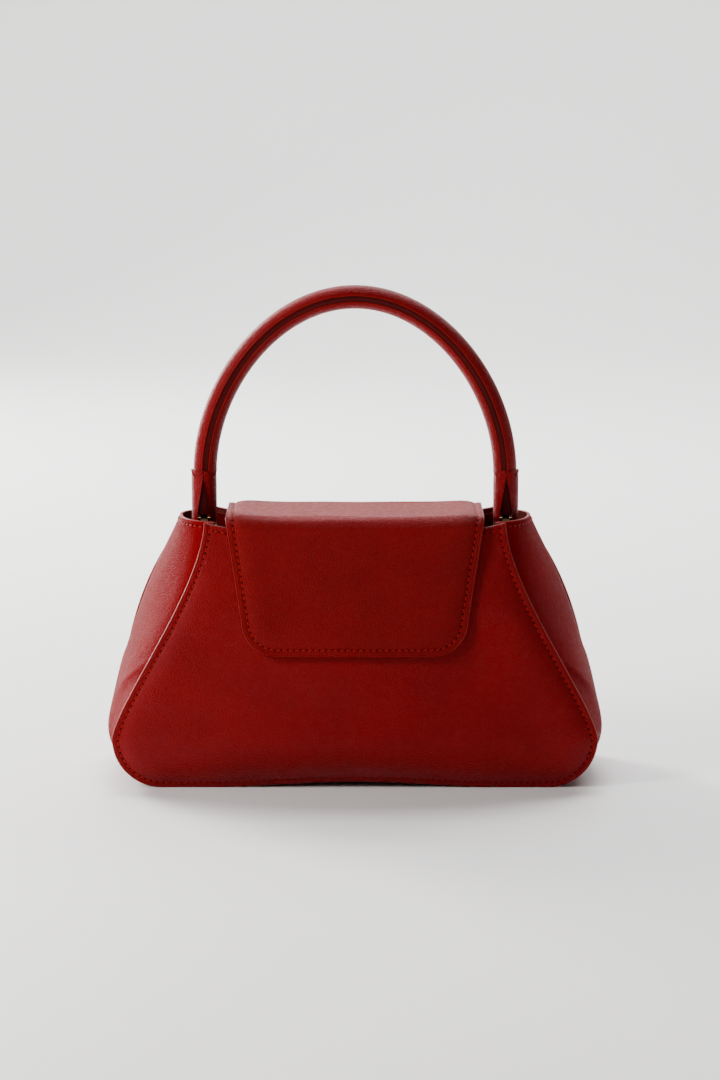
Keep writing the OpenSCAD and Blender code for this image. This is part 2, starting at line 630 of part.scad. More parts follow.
// A rivet reaches from its head behind the foot into the patch, short of the lining
module rivets(side) {
    rivet_head_t = rivet_r * 0.54;
    color([0.78, 0.6, 0.3]) left_right(side) rivet_places() {
        translate([0, 0, -foot_t - layer_gap - rivet_head_t])
            cylinder(r = rivet_r * 1.65, h = rivet_head_t, $fn = 32);
        translate([0, 0, -foot_t - layer_gap - small])
            cylinder(r = rivet_r, h = foot_t + patch_t + foot_sag / 2, $fn = 32);
    }
}

front_panel();
back_panel();
gusset(-1);  // left_gusset
gusset(1);  // right_gusset
base_panel();
stiffener(front_x, -1);  // front_stiffener
stiffener(back_x, 1);  // back_stiffener
base_board();
panel_lining(front_x, -1);  // front_lining
panel_lining(back_x, 1);  // back_lining
gusset_lining(-1);  // left_gusset_lining
gusset_lining(1);  // right_gusset_lining
base_lining();
facing(front_x, -1);  // front_facing
facing(back_x, 1);  // back_facing
slip_pocket();
flap_root();
flap_bridge();
flap_bridge_lining();
flap_front();
flap_front_lining();
snap_socket();
snap_washer();
snap_stud();
handle_core();
handle_wrap();
handle_outer_cover();
handle_inner_cover();
tab(-1, 1);  // left_outer_tab
tab(-1, -1);  // left_inner_tab
tab(1, 1);  // right_outer_tab
tab(1, -1);  // right_inner_tab
pin(-1);  // left_pin
pin(1);  // right_pin
pin_caps();
pivot_washers();
lug(-1);  // left_lug
lug(1);  // right_lug
patch(-1);  // left_patch
patch(1);  // right_patch
rivets(-1);  // left_rivets
rivets(1);  // right_rivets
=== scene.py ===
"""Red trapeze bag: leather skins, seams, stitches and materials over the CAD frame."""
import math

import bmesh
import bpy
import numpy as np
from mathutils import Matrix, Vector, noise


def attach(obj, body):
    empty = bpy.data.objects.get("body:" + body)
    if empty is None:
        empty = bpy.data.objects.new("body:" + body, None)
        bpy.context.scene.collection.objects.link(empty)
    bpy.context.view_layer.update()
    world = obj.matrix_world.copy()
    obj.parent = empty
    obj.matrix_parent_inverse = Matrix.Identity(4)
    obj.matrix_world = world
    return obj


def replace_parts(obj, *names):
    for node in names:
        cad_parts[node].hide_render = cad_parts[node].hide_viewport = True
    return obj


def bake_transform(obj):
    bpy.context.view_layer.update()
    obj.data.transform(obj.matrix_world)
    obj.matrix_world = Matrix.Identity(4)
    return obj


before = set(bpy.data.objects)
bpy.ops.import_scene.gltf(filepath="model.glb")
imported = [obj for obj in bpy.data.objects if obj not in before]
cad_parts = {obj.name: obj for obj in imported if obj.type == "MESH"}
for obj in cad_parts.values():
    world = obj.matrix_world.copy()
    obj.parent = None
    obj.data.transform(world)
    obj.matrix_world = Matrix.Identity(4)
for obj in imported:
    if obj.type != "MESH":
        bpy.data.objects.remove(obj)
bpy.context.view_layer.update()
MM = 0.001

# Main sizes in millimetres, after those of the frame
RIM_H, CORNER_R, ARCH, ARCH_W = 130.0, 25.0, 3.0, 75.0
FRONT_TOP, FRONT_LOW, BACK_TOP, BACK_LOW, SIDE_TOP, SIDE_LOW = 74.0, 119.5, 80.6, 120.0, 87.5, 124.4
RIM_DEPTH, LOW_DEPTH, FLOOR_DEPTH, RIM_CROWN, LOW_CROWN, RIM_DIP = 23.0, 39.0, 37.0, 2.5, 6.0, 4.0
PANEL_T, GUSSET_T, LAYER_GAP, FLANGE_W = 1.6, 1.3, 0.1, 3.6
FLAP_TOP_W, FLAP_LOW_W, FLAP_LOW_Z, FLAP_CORNER_R = 63.5, 55.5, 67.0, 17.0
FLAP_TOP_Z, FLAP_T, FLAP_GAP, FOLD_Z, ROOT_LOW_Z = 133.4, 2.4, 0.6, 126.6, 108.0
LEG_X, ARCH_Z0, HANDLE_TOP, ARCH_RISE, ARCH_REACH, HANDLE_R = 74.6, 152.0, 239.4, 42.0, 41.5, 5.85
PIVOT_Z, TAB_R, TAB_SPACE, WEDGE_H = 125.0, 6.3, 6.2, 18.0
BACK_RISE, CURVE_GAP, STIFF_T, LINING_T, FACING_T = 1.9, 0.4, 0.7, 0.7, 1.0
STITCH_PITCH = 3.1
SEAM_IN, STITCH_IN = 2.6, 2.9
SNAP_Z, SNAP_DIP, DIP_R, DIP_FADE = 84.0, 0.55, 12.0, 4.0
FLOOR_FRONT, FLOOR_BACK, FLOOR_SIDE, COVE_R, WALL_H = 9000, 1800, 6000, 600, 3600


def curve4(top, low, a, b):
    """Bezier points from top to low, with bends at the shares a and b of the way."""
    return (top, top + (low - top) * a, low - (low - top) * b, low)


CURVE_Z = curve4(RIM_H, CORNER_R, 0.305, 0.181)
FRONT_X = curve4(FRONT_TOP, FRONT_LOW, 0.022, 0.066)
# The back panel is wider at mid height than its solid: the photo shows its edge beyond the gussets
BACK_X = curve4(BACK_TOP, BACK_LOW, 0.822, -0.013)
SIDE_X = curve4(SIDE_TOP, SIDE_LOW, 0.298, -0.016)
DEPTH_Y = curve4(RIM_DEPTH, LOW_DEPTH, 0.375, 0.188)
CROWN_Y = curve4(RIM_CROWN, LOW_CROWN, 0.43, -0.286)


def bez(t, p):
    """Value at share t of the Bezier curve with the four points p."""
    return (1 - t) ** 3 * p[0] + 3 * t * (1 - t) ** 2 * p[1] + 3 * t * t * (1 - t) * p[2] + t ** 3 * p[3]


T_TABLE = np.linspace(0, 1, 600)
Z_TABLE = bez(T_TABLE, CURVE_Z)


def by_height(z, p):
    """Value of the curve p at height z."""
    t = np.interp(-z, -Z_TABLE, T_TABLE)
    return bez(t, p)


def low_share(z):
    """0 above the lower corners, rising to 1 at the bottom."""
    return max(0.0, (CORNER_R - z) / CORNER_R)


def softened(raw, spread=5.0):
    """Table of a height curve with its kinks rounded off, held at its ends."""
    zs = np.arange(-30.0, RIM_H + 40, 0.5)
    values = np.array([raw(min(max(z, 0.0), RIM_H)) for z in zs])
    reach = np.arange(-30, 31) * 0.5
    kernel = np.exp(-(reach / spread) ** 2)
    mid = np.convolve(np.pad(values, 30, mode="edge"), kernel / kernel.sum(), "valid")
    keep = np.clip(zs / 12, 0, 1) * np.clip((RIM_H - zs) / 12, 0, 1)
    return zs, mid * keep + values * (1 - keep)


SEAM_TABLE = softened(lambda z: by_height(z, DEPTH_Y) - (LOW_DEPTH - FLOOR_DEPTH) * low_share(z) ** 2)
CROWN_TABLE = softened(lambda z: by_height(z, CROWN_Y) * (1 - low_share(z) ** 2))


def seam_y(z):
    """Distance of the side seams from the middle plane."""
    return float(np.interp(z, *SEAM_TABLE))


def crown_at(z):
    """How far the panels bulge beyond the side seams."""
    return float(np.interp(z, *CROWN_TABLE))


def belly_y(x, z):
    """Distance of a panel's face from the middle plane."""
    return seam_y(z) + crown_at(z) * max(0.0, 1 - (x / by_height(z, FRONT_X)) ** 2)


def outline_w(z, p):
    """Half width of a panel at height z, with its rounded lower corners."""
    cut = CORNER_R - math.sqrt(max(0.0, CORNER_R ** 2 - (CORNER_R - z) ** 2)) if z < CORNER_R else 0.0
    return by_height(z, p) - cut


def arch_at(x):
    """Height of the hollow under the base."""
    return ARCH * (1 - (x / ARCH_W) ** 2) ** 2 if abs(x) < ARCH_W else 0.0


def sag(x, z):
    """Rise over the hollow of the base, less the dip of the rim."""
    low = arch_at(x) * max(0.0, 1 - z / 40)
    dip = RIM_DIP * (1 - min(1.0, abs(x) / FRONT_TOP) ** 6) * max(0.0, (z - RIM_H + 40) / 40)
    return low - dip


def levels(top, low, n, corner=10):
    """Heights from top to low: n even steps, then corner steps round the lower corners."""
    split = max(low, CORNER_R)
    zs = [top + (split - top) * i / n for i in range(n + 1)]
    if low < CORNER_R:
        turns = [math.radians(90 * i / corner) for i in range(1, corner + 1)]
        zs += [max(low, CORNER_R * (1 - math.sin(a))) for a in turns]
    return zs


# Materials
def ramp(nt, stops, source):
    """Colour ramp with (place, colour) stops, driven by source."""
    node = nt.nodes.new("ShaderNodeValToRGB")
    node.color_ramp.elements[0].position, node.color_ramp.elements[0].color = stops[0]
    node.color_ramp.elements[1].position, node.color_ramp.elements[1].color = stops[-1]
    for pos, col in stops[1:-1]:
        node.color_ramp.elements.new(pos).color = col
    nt.links.new(source, node.inputs[0])
    return node.outputs[0]


def texture(nt, kind, coord, scale, **values):
    """Procedural texture node with its inputs set."""
    node = nt.nodes.new(kind)
    node.inputs["Scale"].default_value = scale
    for key, value in values.items():
        if key in node.inputs:
            node.inputs[key].default_value = value
    nt.links.new(coord, node.inputs["Vector"])
    return node


def leather(name, dark, mid, light, rough=(0.34, 0.5), grain=1150.0, bump=0.22, coat=0.12, spec=0.5):
    """Fine pebbled leather: colour drifts, pores are darker, gloss varies with the grain."""
    mat = bpy.data.materials.new(name)
    mat.use_nodes = True
    nt = mat.node_tree
    bsdf = nt.nodes["Principled BSDF"]
    coord = nt.nodes.new("ShaderNodeTexCoord").outputs["Object"]
    cells = texture(nt, "ShaderNodeTexVoronoi", coord, grain, Randomness=1.0)
    cells.feature = "DISTANCE_TO_EDGE"
    wrinkle = texture(nt, "ShaderNodeTexNoise", coord, grain * 0.45, Detail=6.0, Roughness=0.6)
    drift = texture(nt, "ShaderNodeTexNoise", coord, 26.0, Detail=3.0, Roughness=0.5)
    tone = ramp(nt, [(0.3, dark), (0.5, mid), (0.72, light)], drift.outputs["Fac"])
    pores = ramp(nt, [(0.0, (0.72, 0.72, 0.72, 1)), (0.18, (1, 1, 1, 1))], cells.outputs["Distance"])
    mix = nt.nodes.new("ShaderNodeMix")
    mix.data_type = "RGBA"
    mix.blend_type = "MULTIPLY"
    mix.inputs["Factor"].default_value = 0.5
    nt.links.new(tone, mix.inputs["A"])
    nt.links.new(pores, mix.inputs["B"])
    nt.links.new(mix.outputs["Result"], bsdf.inputs["Base Color"])
    gloss = nt.nodes.new("ShaderNodeMapRange")
    gloss.inputs["From Min"].default_value = 0.3
    gloss.inputs["From Max"].default_value = 0.7
    gloss.inputs["To Min"].default_value = rough[0]
    gloss.inputs["To Max"].default_value = rough[1]
    nt.links.new(wrinkle.outputs["Fac"], gloss.inputs["Value"])
    nt.links.new(gloss.outputs["Result"], bsdf.inputs["Roughness"])
    height = nt.nodes.new("ShaderNodeMath")
    height.operation = "MULTIPLY_ADD"
    edge = nt.nodes.new("ShaderNodeMapRange")
    edge.interpolation_type = "SMOOTHSTEP"
    edge.inputs["From Max"].default_value = 0.22
    nt.links.new(cells.outputs["Distance"], edge.inputs["Value"])
    nt.links.new(wrinkle.outputs["Fac"], height.inputs[0])
    height.inputs[1].default_value = 1.3
    nt.links.new(edge.outputs["Result"], height.inputs[2])
    node = nt.nodes.new("ShaderNodeBump")
    node.inputs["Strength"].default_value = bump
    node.inputs["Distance"].default_value = 0.00022
    nt.links.new(height.outputs["Value"], node.inputs["Height"])
    nt.links.new(node.outputs["Normal"], bsdf.inputs["Normal"])
    bsdf.inputs["Specular Tint"].default_value = (1.0, 0.30, 0.32, 1)
    bsdf.inputs["Coat Weight"].default_value = coat
    bsdf.inputs["Coat Roughness"].default_value = 0.3
    bsdf.inputs["Specular IOR Level"].default_value = spec
    return mat


def plain(name, color, rough, metal=0.0, scale=900.0, bump=0.1, drift=0.85, tint=(1, 1, 1, 1), spec=0.5):
    """Even material with a slight mottle and fine surface noise."""
    mat = bpy.data.materials.new(name)
    mat.use_nodes = True
    nt = mat.node_tree
    bsdf = nt.nodes["Principled BSDF"]
    coord = nt.nodes.new("ShaderNodeTexCoord").outputs["Object"]
    grit = texture(nt, "ShaderNodeTexNoise", coord, scale, Detail=4.0)
    shade = tuple(c * drift for c in color[:3]) + (1,)
    nt.links.new(ramp(nt, [(0.35, shade), (0.65, color)], grit.outputs["Fac"]), bsdf.inputs["Base Color"])
    bsdf.inputs["Roughness"].default_value = rough
    bsdf.inputs["Metallic"].default_value = metal
    bsdf.inputs["Specular Tint"].default_value = tint
    bsdf.inputs["Specular IOR Level"].default_value = spec
    node = nt.nodes.new("ShaderNodeBump")
    node.inputs["Strength"].default_value = bump
    node.inputs["Distance"].default_value = 0.0001
    nt.links.new(grit.outputs["Fac"], node.inputs["Height"])
    nt.links.new(node.outputs["Normal"], bsdf.inputs["Normal"])
    return mat


# Dark, middle and light tone of each leather
RED_TONES = (0.16, 0.0012, 0.0032, 1), (0.18, 0.0014, 0.0036, 1), (0.20, 0.0017, 0.0042, 1)
FLAP_TONES = (0.15, 0.0036, 0.005, 1), (0.17, 0.004, 0.0056, 1), (0.19, 0.0046, 0.0064, 1)
DARK_TONES = (0.03, 0.0006, 0.0006, 1), (0.045, 0.0008, 0.0008, 1), (0.06, 0.001, 0.001, 1)
SUEDE_TONES = (0.16, 0.03, 0.025, 1), (0.21, 0.04, 0.033, 1), (0.26, 0.055, 0.045, 1)
GRAIN = 820.0
RED = leather("red_leather", *RED_TONES, rough=(0.36, 0.54), grain=GRAIN, bump=0.75, coat=0.02, spec=0.24)
SIDE_RED = leather("red_side_leather", *RED_TONES, rough=(0.5, 0.64), grain=GRAIN, bump=0.9, coat=0.0,
                   spec=0.03)
FLAP_RED = leather("red_flap_leather", *FLAP_TONES, rough=(0.44, 0.6), grain=GRAIN, bump=0.9, coat=0.0,
                   spec=0.14)
# Dark red that paints shade: on the fills between the handle's tabs and on the handle's recessed band. The
# patches inside take it too.
DARK_RED = leather("dark_red_leather", *DARK_TONES, coat=0.0, spec=0.3)
SUEDE = leather("suede_lining", *SUEDE_TONES, rough=(0.75, 0.95), grain=2200.0, bump=0.35, coat=0.0,
                spec=0.2)
EDGE = plain("edge_paint", (0.2, 0.004, 0.004, 1), 0.5, scale=500.0, tint=(1, 0.4, 0.4, 1), spec=0.2)
THREAD = plain("red_thread", (0.30, 0.006, 0.006, 1), 0.6, scale=4000.0, bump=0.5, tint=(1, 0.2, 0.2, 1))
# Near-black discs that paint the shade inside the needle holes
HOLE_SHADE = plain("needle_hole_shade", (0.012, 0.0004, 0.0004, 1), 1.0, tint=(0.4, 0.02, 0.02, 1), spec=0.1)
BRASS = plain("brass", (0.80, 0.58, 0.28, 1), 0.22, metal=1.0, scale=1500.0, bump=0.05, drift=0.92)
BOARD = plain("fibre_board", (0.45, 0.37, 0.26, 1), 0.85, scale=700.0, bump=0.3)
CORD = plain("cotton_cord", (0.75, 0.70, 0.60, 1), 0.9, scale=1800.0, bump=0.5)


# Mesh makers
def mesh_object(name, verts, faces, mats, indices=None):
    """Smooth object from points in millimetres; indices gives each face its material."""
    mesh = bpy.data.meshes.new(name)
    mesh.from_pydata([tuple(c * MM for c in v) for v in verts], [], faces)
    for m in mats:
        mesh.materials.append(m)
    if indices:
        mesh.polygons.foreach_set("material_index", indices)
    mesh.polygons.foreach_set("use_smooth", [True] * len(mesh.polygons))
    mesh.set_sharp_from_angle(angle=math.radians(50))
    mesh.validate()
    obj = bpy.data.objects.new(name, mesh)
    bpy.context.scene.collection.objects.link(obj)
    return obj


def shell(name, outer, inner, mats):
    """Closed skin between two grids. mats are outer, rim and inner materials."""
    rows, cols = len(outer), len(outer[0])
    n = rows * cols
    verts = [p for row in outer for p in row] + [p for row in inner for p in row]
    faces, which = [], []

    def add(face, m):
        faces.append(face)
        which.append(m)

    for r in range(rows - 1):
        for c in range(cols - 1):
            a, b, d, e = r * cols + c, r * cols + c + 1, (r + 1) * cols + c + 1, (r + 1) * cols + c
            add((a, b, d, e), 0)
            add((n + a, n + e, n + d, n + b), 2)
    for c in range(cols - 1):
        add((c + 1, c, n + c, n + c + 1), 1)
        k = (rows - 1) * cols + c
        add((k, k + 1, n + k + 1, n + k), 1)
    for r in range(rows - 1):
        k = r * cols
        add((k, k + cols, n + k + cols, n + k), 1)
        k = r * cols + cols - 1
        add((k + cols, k, n + k, n + k + cols), 1)
    obj = mesh_object(name, verts, faces, mats, which)
    fix_normals(obj)
    return obj


def fix_normals(obj):
    """Turn every face outward."""
    bm = bmesh.new()
    bm.from_mesh(obj.data)
    bmesh.ops.recalc_face_normals(bm, faces=bm.faces)
    bm.to_mesh(obj.data)
    bm.free()


def tube_faces(rings, n, base=0):
    """Quads that join each ring of n points to the next, from point base on."""
    faces = []
    for low in range(base, base + (rings - 1) * n, n):
        for i in range(n):
            j = (i + 1) % n
            faces.append((low + i, low + j, low + n + j, low + n + i))
    return faces


def cap(n, first=0):
    """Face over the ring of n points that starts at point first."""
    return tuple(first + i for i in range(n))


def around(n):
    """n angles round a full turn."""
    return [2 * math.pi * i / n for i in range(n)]


def sweep(name, path, ways, section, mat):
    """Section points (a, b) swept along path, where ways gives the a and b directions of each ring."""
    m, n = len(path), len(section)
    verts = []
    for p, (u, v) in zip(path, ways):
        verts += [tuple(p[k] + u[k] * a + v[k] * b for k in range(3)) for a, b in section]
    faces = tube_faces(m, n) + [cap(n)[::-1], cap(n, (m - 1) * n)]
    obj = mesh_object(name, verts, faces, [mat])
    fix_normals(obj)
    return obj


def ellipse(a, b, n):
    """Section of n points with the half axes a and b."""
    return [(a * math.cos(t), b * math.sin(t)) for t in around(n)]


def unit(v):
    """The vector scaled to length 1."""
    length = math.sqrt(sum(c * c for c in v)) or 1.0
    return tuple(c / length for c in v)


def cross(a, b):
    """Cross product of two vectors."""
    return (a[1] * b[2] - a[2] * b[1], a[2] * b[0] - a[0] * b[2], a[0] * b[1] - a[1] * b[0])


def way_at(path, i):
    """Direction of the path at its point i."""
    ahead, behind = path[min(i + 1, len(path) - 1)], path[max(i - 1, 0)]
    return unit(tuple(ahead[k] - behind[k] for k in range(3)))


def bead(name, path, y_way, half, proud, mat, n=12):
    """Painted edge: an oval bead along a cut edge, half thick along y_way and proud outward."""
    ways = []
    for i in range(len(path)):
        d = way_at(path, i)
        out = unit(cross(d, y_way))
        ways.append((out, unit(cross(out, d))))
    return sweep(name, path, ways, ellipse(proud, half, n), mat)


WAY_STEP = 0.3


def resample(points, pitch):
    """Points every pitch along a line, with the way along it."""
    pts = np.array(points, float)
    step = np.linalg.norm(np.diff(pts, axis=0), axis=1)
    run = np.concatenate([[0], np.cumsum(step)])
    count = max(2, int(run[-1] / pitch))
    at = (np.arange(count) + 0.5) * run[-1] / count
    place = np.stack([np.interp(at, run, pts[:, k]) for k in range(3)], 1)
    ahead = np.stack([np.interp(np.minimum(at + WAY_STEP, run[-1]), run, pts[:, k]) for k in range(3)], 1)
    behind = np.stack([np.interp(np.maximum(at - WAY_STEP, 0), run, pts[:, k]) for k in range(3)], 1)
    return place, ahead - behind


def nearest_values(points, values, place):
    """The value at the point of the line that lies nearest to each place."""
    pts, vals = np.array(points, float), np.array(values, float)
    return vals[[int(np.argmin(np.sum((pts - p) ** 2, axis=1))) for p in place]]


THREAD_L, THREAD_R, THREAD_SLANT, THREAD_RINGS, THREAD_SIDES = 2.3, 0.34, 0.14, 7, 6
# Height over the leather and radius of each ring of a needle hole
HOLE_RINGS = (0.16, 0.3), (0.1, 0.46), (-0.3, 0.46)


def stitches(name, points, normals, lift=0.0):
    """A row of thread stitches, short bowed capsules, with a near-black disc before each one that paints the
    shade in its needle hole.
    """
    place, way = resample(points, STITCH_PITCH)
    verts, faces, which = [], [], []
    for p, w, nrm in zip(place, way, nearest_values(points, normals, place)):
        d = np.array(unit(w))
        nrm = np.array(unit(nrm))
        d = np.array(unit(d + THREAD_SLANT * np.cross(nrm, d)))
        side = np.cross(nrm, d)
        base = len(verts)
        for i in range(THREAD_RINGS):
            f = -1 + 2 * i / (THREAD_RINGS - 1)
            r = THREAD_R * math.sqrt(max(0.05, 1 - f ** 4))
            mid = p + d * (f * THREAD_L / 2) + nrm * (lift + THREAD_R * (0.55 - 1.1 * f * f))
            verts += [tuple(mid + side * (r * math.cos(a)) + nrm * (r * 0.8 * math.sin(a)))
                      for a in around(THREAD_SIDES)]
        faces += tube_faces(THREAD_RINGS, THREAD_SIDES, base)
        faces += [cap(THREAD_SIDES, base)[::-1], cap(THREAD_SIDES, base + (THREAD_RINGS - 1) * THREAD_SIDES)]
        which += [0] * (len(faces) - len(which))
        hole = p - d * (STITCH_PITCH / 2)
        base = len(verts)
        for h, r in HOLE_RINGS:
            verts += [tuple(hole + nrm * (lift + h) + (d * math.cos(a) + side * math.sin(a)) * r)
                      for a in around(THREAD_SIDES)]
        faces += tube_faces(len(HOLE_RINGS), THREAD_SIDES, base)
        faces += [cap(THREAD_SIDES, base)[::-1], cap(THREAD_SIDES, base + 2 * THREAD_SIDES)]
        which += [1] * (len(faces) - len(which))
    obj = mesh_object(name, verts, faces, [THREAD, HOLE_SHADE], which)
    fix_normals(obj)
    return obj


def dress(obj, body, slot, *nodes):
    """Tie a piece to its body, in place of the named frame nodes. The slot is not used."""
    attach(obj, body)
    if nodes:
        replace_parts(obj, *nodes)
    return obj


# Panels
def soft(x, z, seed):
    """Slow unevenness of hand-made leather, in millimetres."""
    return 0.35 * noise.noise(Vector((x * 0.022, z * 0.03, seed)))


EDGE_STEPS = (0, 0.3, 0.8, 1.3, 1.8, 2.2, 2.5, 2.8, 3.2, 3.7, 4.4, 5.3, 6.5, 8, 10, 12.5, 16, 20)


def across(w, n=36):
    """Shares of the half width w from -1 to 1, with the lines close together near the edges."""
    steps = [e for e in EDGE_STEPS if e < w * 0.6]
    side = [-1 + e / w for e in steps]
    mid = np.linspace(side[-1], -side[-1], n + 1)[1:-1]
    return side + list(mid) + [-u for u in side[::-1]]


def panel_grid(p, fy, top, low, inset, depth, rows, cols):
    """Plain grid that follows a panel, depth behind its face and inset from its outline."""
    grid = []
    for z in levels(top, low, rows):
        w = outline_w(z, p) - inset
        row = []
        for j in range(cols + 1):
            x = -fy * w * (1 - 2 * j / cols)
            row.append((x, fy * (belly_y(x, z) - depth), z + sag(x, z)))
        grid.append(row)
    return grid


EDGE_DROP, EDGE_RUN, GROOVE_DEEP, GROOVE_RUN, SWELL_POWER, CALM_RUN = 0.45, 0.7, 0.42, 0.75, 1.6, 12


def relief(edge, groove, puff, seed, x, z, reach=9.0):
    """Height of a sewn skin at a distance edge from its cut edge: rounded edge, sunk stitch line, swell."""
    rim = -EDGE_DROP * max(0.0, 1 - edge / EDGE_RUN) ** 2
    sunk = -GROOVE_DEEP * math.exp(-((edge - groove) / GROOVE_RUN) ** 2)
    t = max(0.0, (edge - groove) / reach)
    swell = puff * (t * math.exp(1 - t)) ** SWELL_POWER if t > 0 else 0.0
    calm = min(1.0, edge / CALM_RUN)
    return rim + sunk + swell + calm * soft(x, z, seed)


def outline_flat(p, top):
    """Points of a panel's side and lower edges in its own plane."""
    half = [(outline_w(z, p), z) for z in levels(top, 0, 160, 60)]
    low_w = half[-1][0]
    return np.array(half + [(low_w * (1 - i / 60), 0.0) for i in range(1, 61)])


def snap_dip(x, z):
    """The leather sinks a little round the snap socket, which then stands clear of it."""
    t = min(1.0, max(0.0, (DIP_R - math.hypot(x, z - SNAP_Z)) / DIP_FADE))
    return SNAP_DIP * t * t * (3 - 2 * t)


PUFF, PUFF_BELOW, PUFF_RUN = 1.7, 12, 30


def sewn_grid(p, fy, top, seed):
    """Outer face of a sewn panel, with the relief of its seam."""
    edge_pts = outline_flat(p, top)
    grid = []
    for z in levels(top, 0, 90, 30):
        w = outline_w(z, p)
        strength = min(1.0, max(0.0, (RIM_H - PUFF_BELOW - z) / PUFF_RUN))
        row = []
        for u in across(w, 44):
            x = fy * u * w
            edge = float(np.min(np.hypot(edge_pts[:, 0] - abs(x), edge_pts[:, 1] - z)))
            h = relief(edge, SEAM_IN, PUFF * strength, seed, x, z)
            if fy < 0:
                h -= snap_dip(x, z)
            row.append((x, fy * (belly_y(x, z) + h), z + sag(x, z)))
        grid.append(row)
    return grid


def lined(grid, fy, thick):
    """Inner face of a grid, thick behind it along Y."""
    return [[(x, y - fy * thick, z) for x, y, z in row] for row in grid]


def outline_path(p, fy, inset, depth, top=RIM_H, n=60):
    """Line along the side and lower edges of a panel, inset from its outline, from rim to rim."""
    half = []
    for z in levels(top, 0, n, 24):
        w, e = outline_w(z, p), 0.4
        if z < CORNER_R:
            a = math.asin(min(1.0, (CORNER_R - z) / CORNER_R))
            nx, nz = -math.cos(a), math.sin(a)
        else:
            slope = (outline_w(z - e, p) - outline_w(min(z + e, RIM_H + 2), p)) / (2 * e)
            nx, nz = -1 / math.hypot(1, slope), -slope / math.hypot(1, slope)
        half.append((w + nx * inset, z + nz * inset))
    low_w = half[-1][0]
    half += [(low_w * (1 - i / 12), inset) for i in range(1, 12)]
    flat = half + [(0.0, inset)] + [(-x, z) for x, z in half[::-1]]
    return [(x, fy * (belly_y(x, z) - depth), z + sag(x, z)) for x, z in flat]


def face_normals(path, fy):
    """Way out of a panel at each point of a line on it."""
    out = []
    for x, _, z in path:
        dydz = (belly_y(x, z + 1) - belly_y(x, z - 1)) / 2
        dydx = (belly_y(x + 1, z) - belly_y(x - 1, z)) / 2
        out.append(unit((-dydx, fy, -dydz)))
    return out


front_grid = sewn_grid(FRONT_X, -1, RIM_H, 3.1)
front = shell("front_panel_skin", front_grid, lined(front_grid, -1, PANEL_T), [RED, EDGE, SUEDE])
dress(front, "bag_body", "leather", "front_panel")
back_grid = sewn_grid(BACK_X, 1, RIM_H + BACK_RISE, 7.7)
back = shell("back_panel_skin", back_grid, lined(back_grid, 1, PANEL_T), [RED, EDGE, SUEDE])
dress(back, "bag_body", "leather", "back_panel")

SEAM_T = PANEL_T + LAYER_GAP + GUSSET_T
BACK_SEAM_RISE = 1.5
for tag, p, fy, top in (("front", FRONT_X, -1, RIM_H), ("back", BACK_X, 1, RIM_H + BACK_SEAM_RISE)):
    edge_line = outline_path(p, fy, 0.1, SEAM_T / 2, top)
    bead_obj = bead(tag + "_seam_edge", edge_line, (0, 1, 0), SEAM_T / 2 + 0.05, 0.5, EDGE)
    dress(bead_obj, "bag_body", "leather")
    line = outline_path(p, fy, SEAM_IN, 0, top - 1.5)
    row = stitches(tag + "_seam_stitches", line, face_normals(line, fy), lift=-0.32)
    dress(row, "bag_body", "leather")


# Gussets and base
def side_station(z):
    """Front seam, back seam, widest point, way out and seam depth of the band at height z."""
    return ((outline_w(z, FRONT_X), z), (outline_w(z, BACK_X), z), (by_height(z, SIDE_X), z), (1.0, 0.0),
            seam_y(z))


def corner_station(a):
    """The same round a lower corner, a degrees below the side."""
    c, s = math.cos(math.radians(a)), math.sin(math.radians(a))
    z = CORNER_R * (1 - s)
    fx, bx = FRONT_LOW - CORNER_R, BACK_LOW - CORNER_R
    reach = SIDE_LOW - fx
    return ((fx + CORNER_R * c, z), (bx + CORNER_R * c, z),
            (fx + reach * c, CORNER_R - (CORNER_R - FLANGE_W + 1) * s), (c, -s), seam_y(z))


def base_station(x):
    """The same under the base, at x."""
    return ((x, arch_at(x)), (x, arch_at(x)), (x, arch_at(x) + FLANGE_W - 1), (0.0, -1.0), FLOOR_DEPTH)


WIDEST_S, ROLL_POWER, EDGE_POWER = 0.6, 2.8, 0.6
ROLL_IN, FOLD_R, FOLD_STEP, SHARE_STEP = 0.6, 0.8, 0.3, 0.004


def roll_rise(s):
    """Share of the roll's height at share s of its depth, steep beside the seams."""
    return max(0.0, 1 - abs(2 * s - 1) ** ROLL_POWER) ** EDGE_POWER


def roll_out(st, s):
    """How far the roll stands out from the line between its seams, at share s of the depth."""
    way = st[3]
    chord = (st[1][0] - st[0][0]) * way[0] + (st[1][1] - st[0][1]) * way[1]
    reach = (st[2][0] - st[0][0]) * way[0] + (st[2][1] - st[0][1]) * way[1]
    h = (reach + FLANGE_W - WIDEST_S * chord) / roll_rise(WIDEST_S)
    return -FLANGE_W + h * roll_rise(s)


def roll_pt(st, s, d):
    """Point of the roll at share s of its depth, d below its outer face."""
    y0 = st[4] - PANEL_T - LAYER_GAP - GUSSET_T - ROLL_IN
    s0, s1 = max(0.0, s - SHARE_STEP), min(1.0, s + SHARE_STEP)
    way = st[3]
    chord = (st[1][0] - st[0][0]) * way[0] + (st[1][1] - st[0][1]) * way[1]
    da = roll_out(st, s1) - roll_out(st, s0) + chord * (s1 - s0)
    dy = 2 * y0 * (s1 - s0)
    length = math.hypot(da, dy)
    a = roll_out(st, s) - d * dy / length
    x = st[0][0] + (st[1][0] - st[0][0]) * s + way[0] * a
    z = st[0][1] + (st[1][1] - st[0][1]) * s + way[1] * a
    return (x, -y0 + 2 * y0 * s + d * da / length, z)


def flange_pt(edge, st, a, y):
    """Point a out from a seam, along the way out of the station."""
    return (edge[0] + st[3][0] * a, y, edge[1] + st[3][1] * a)


def eased(n):
    """Shares from 0 to 1 in n steps, close together at both ends."""
    return [0.5 - 0.5 * math.cos(math.pi * i / n) for i in range(n + 1)]


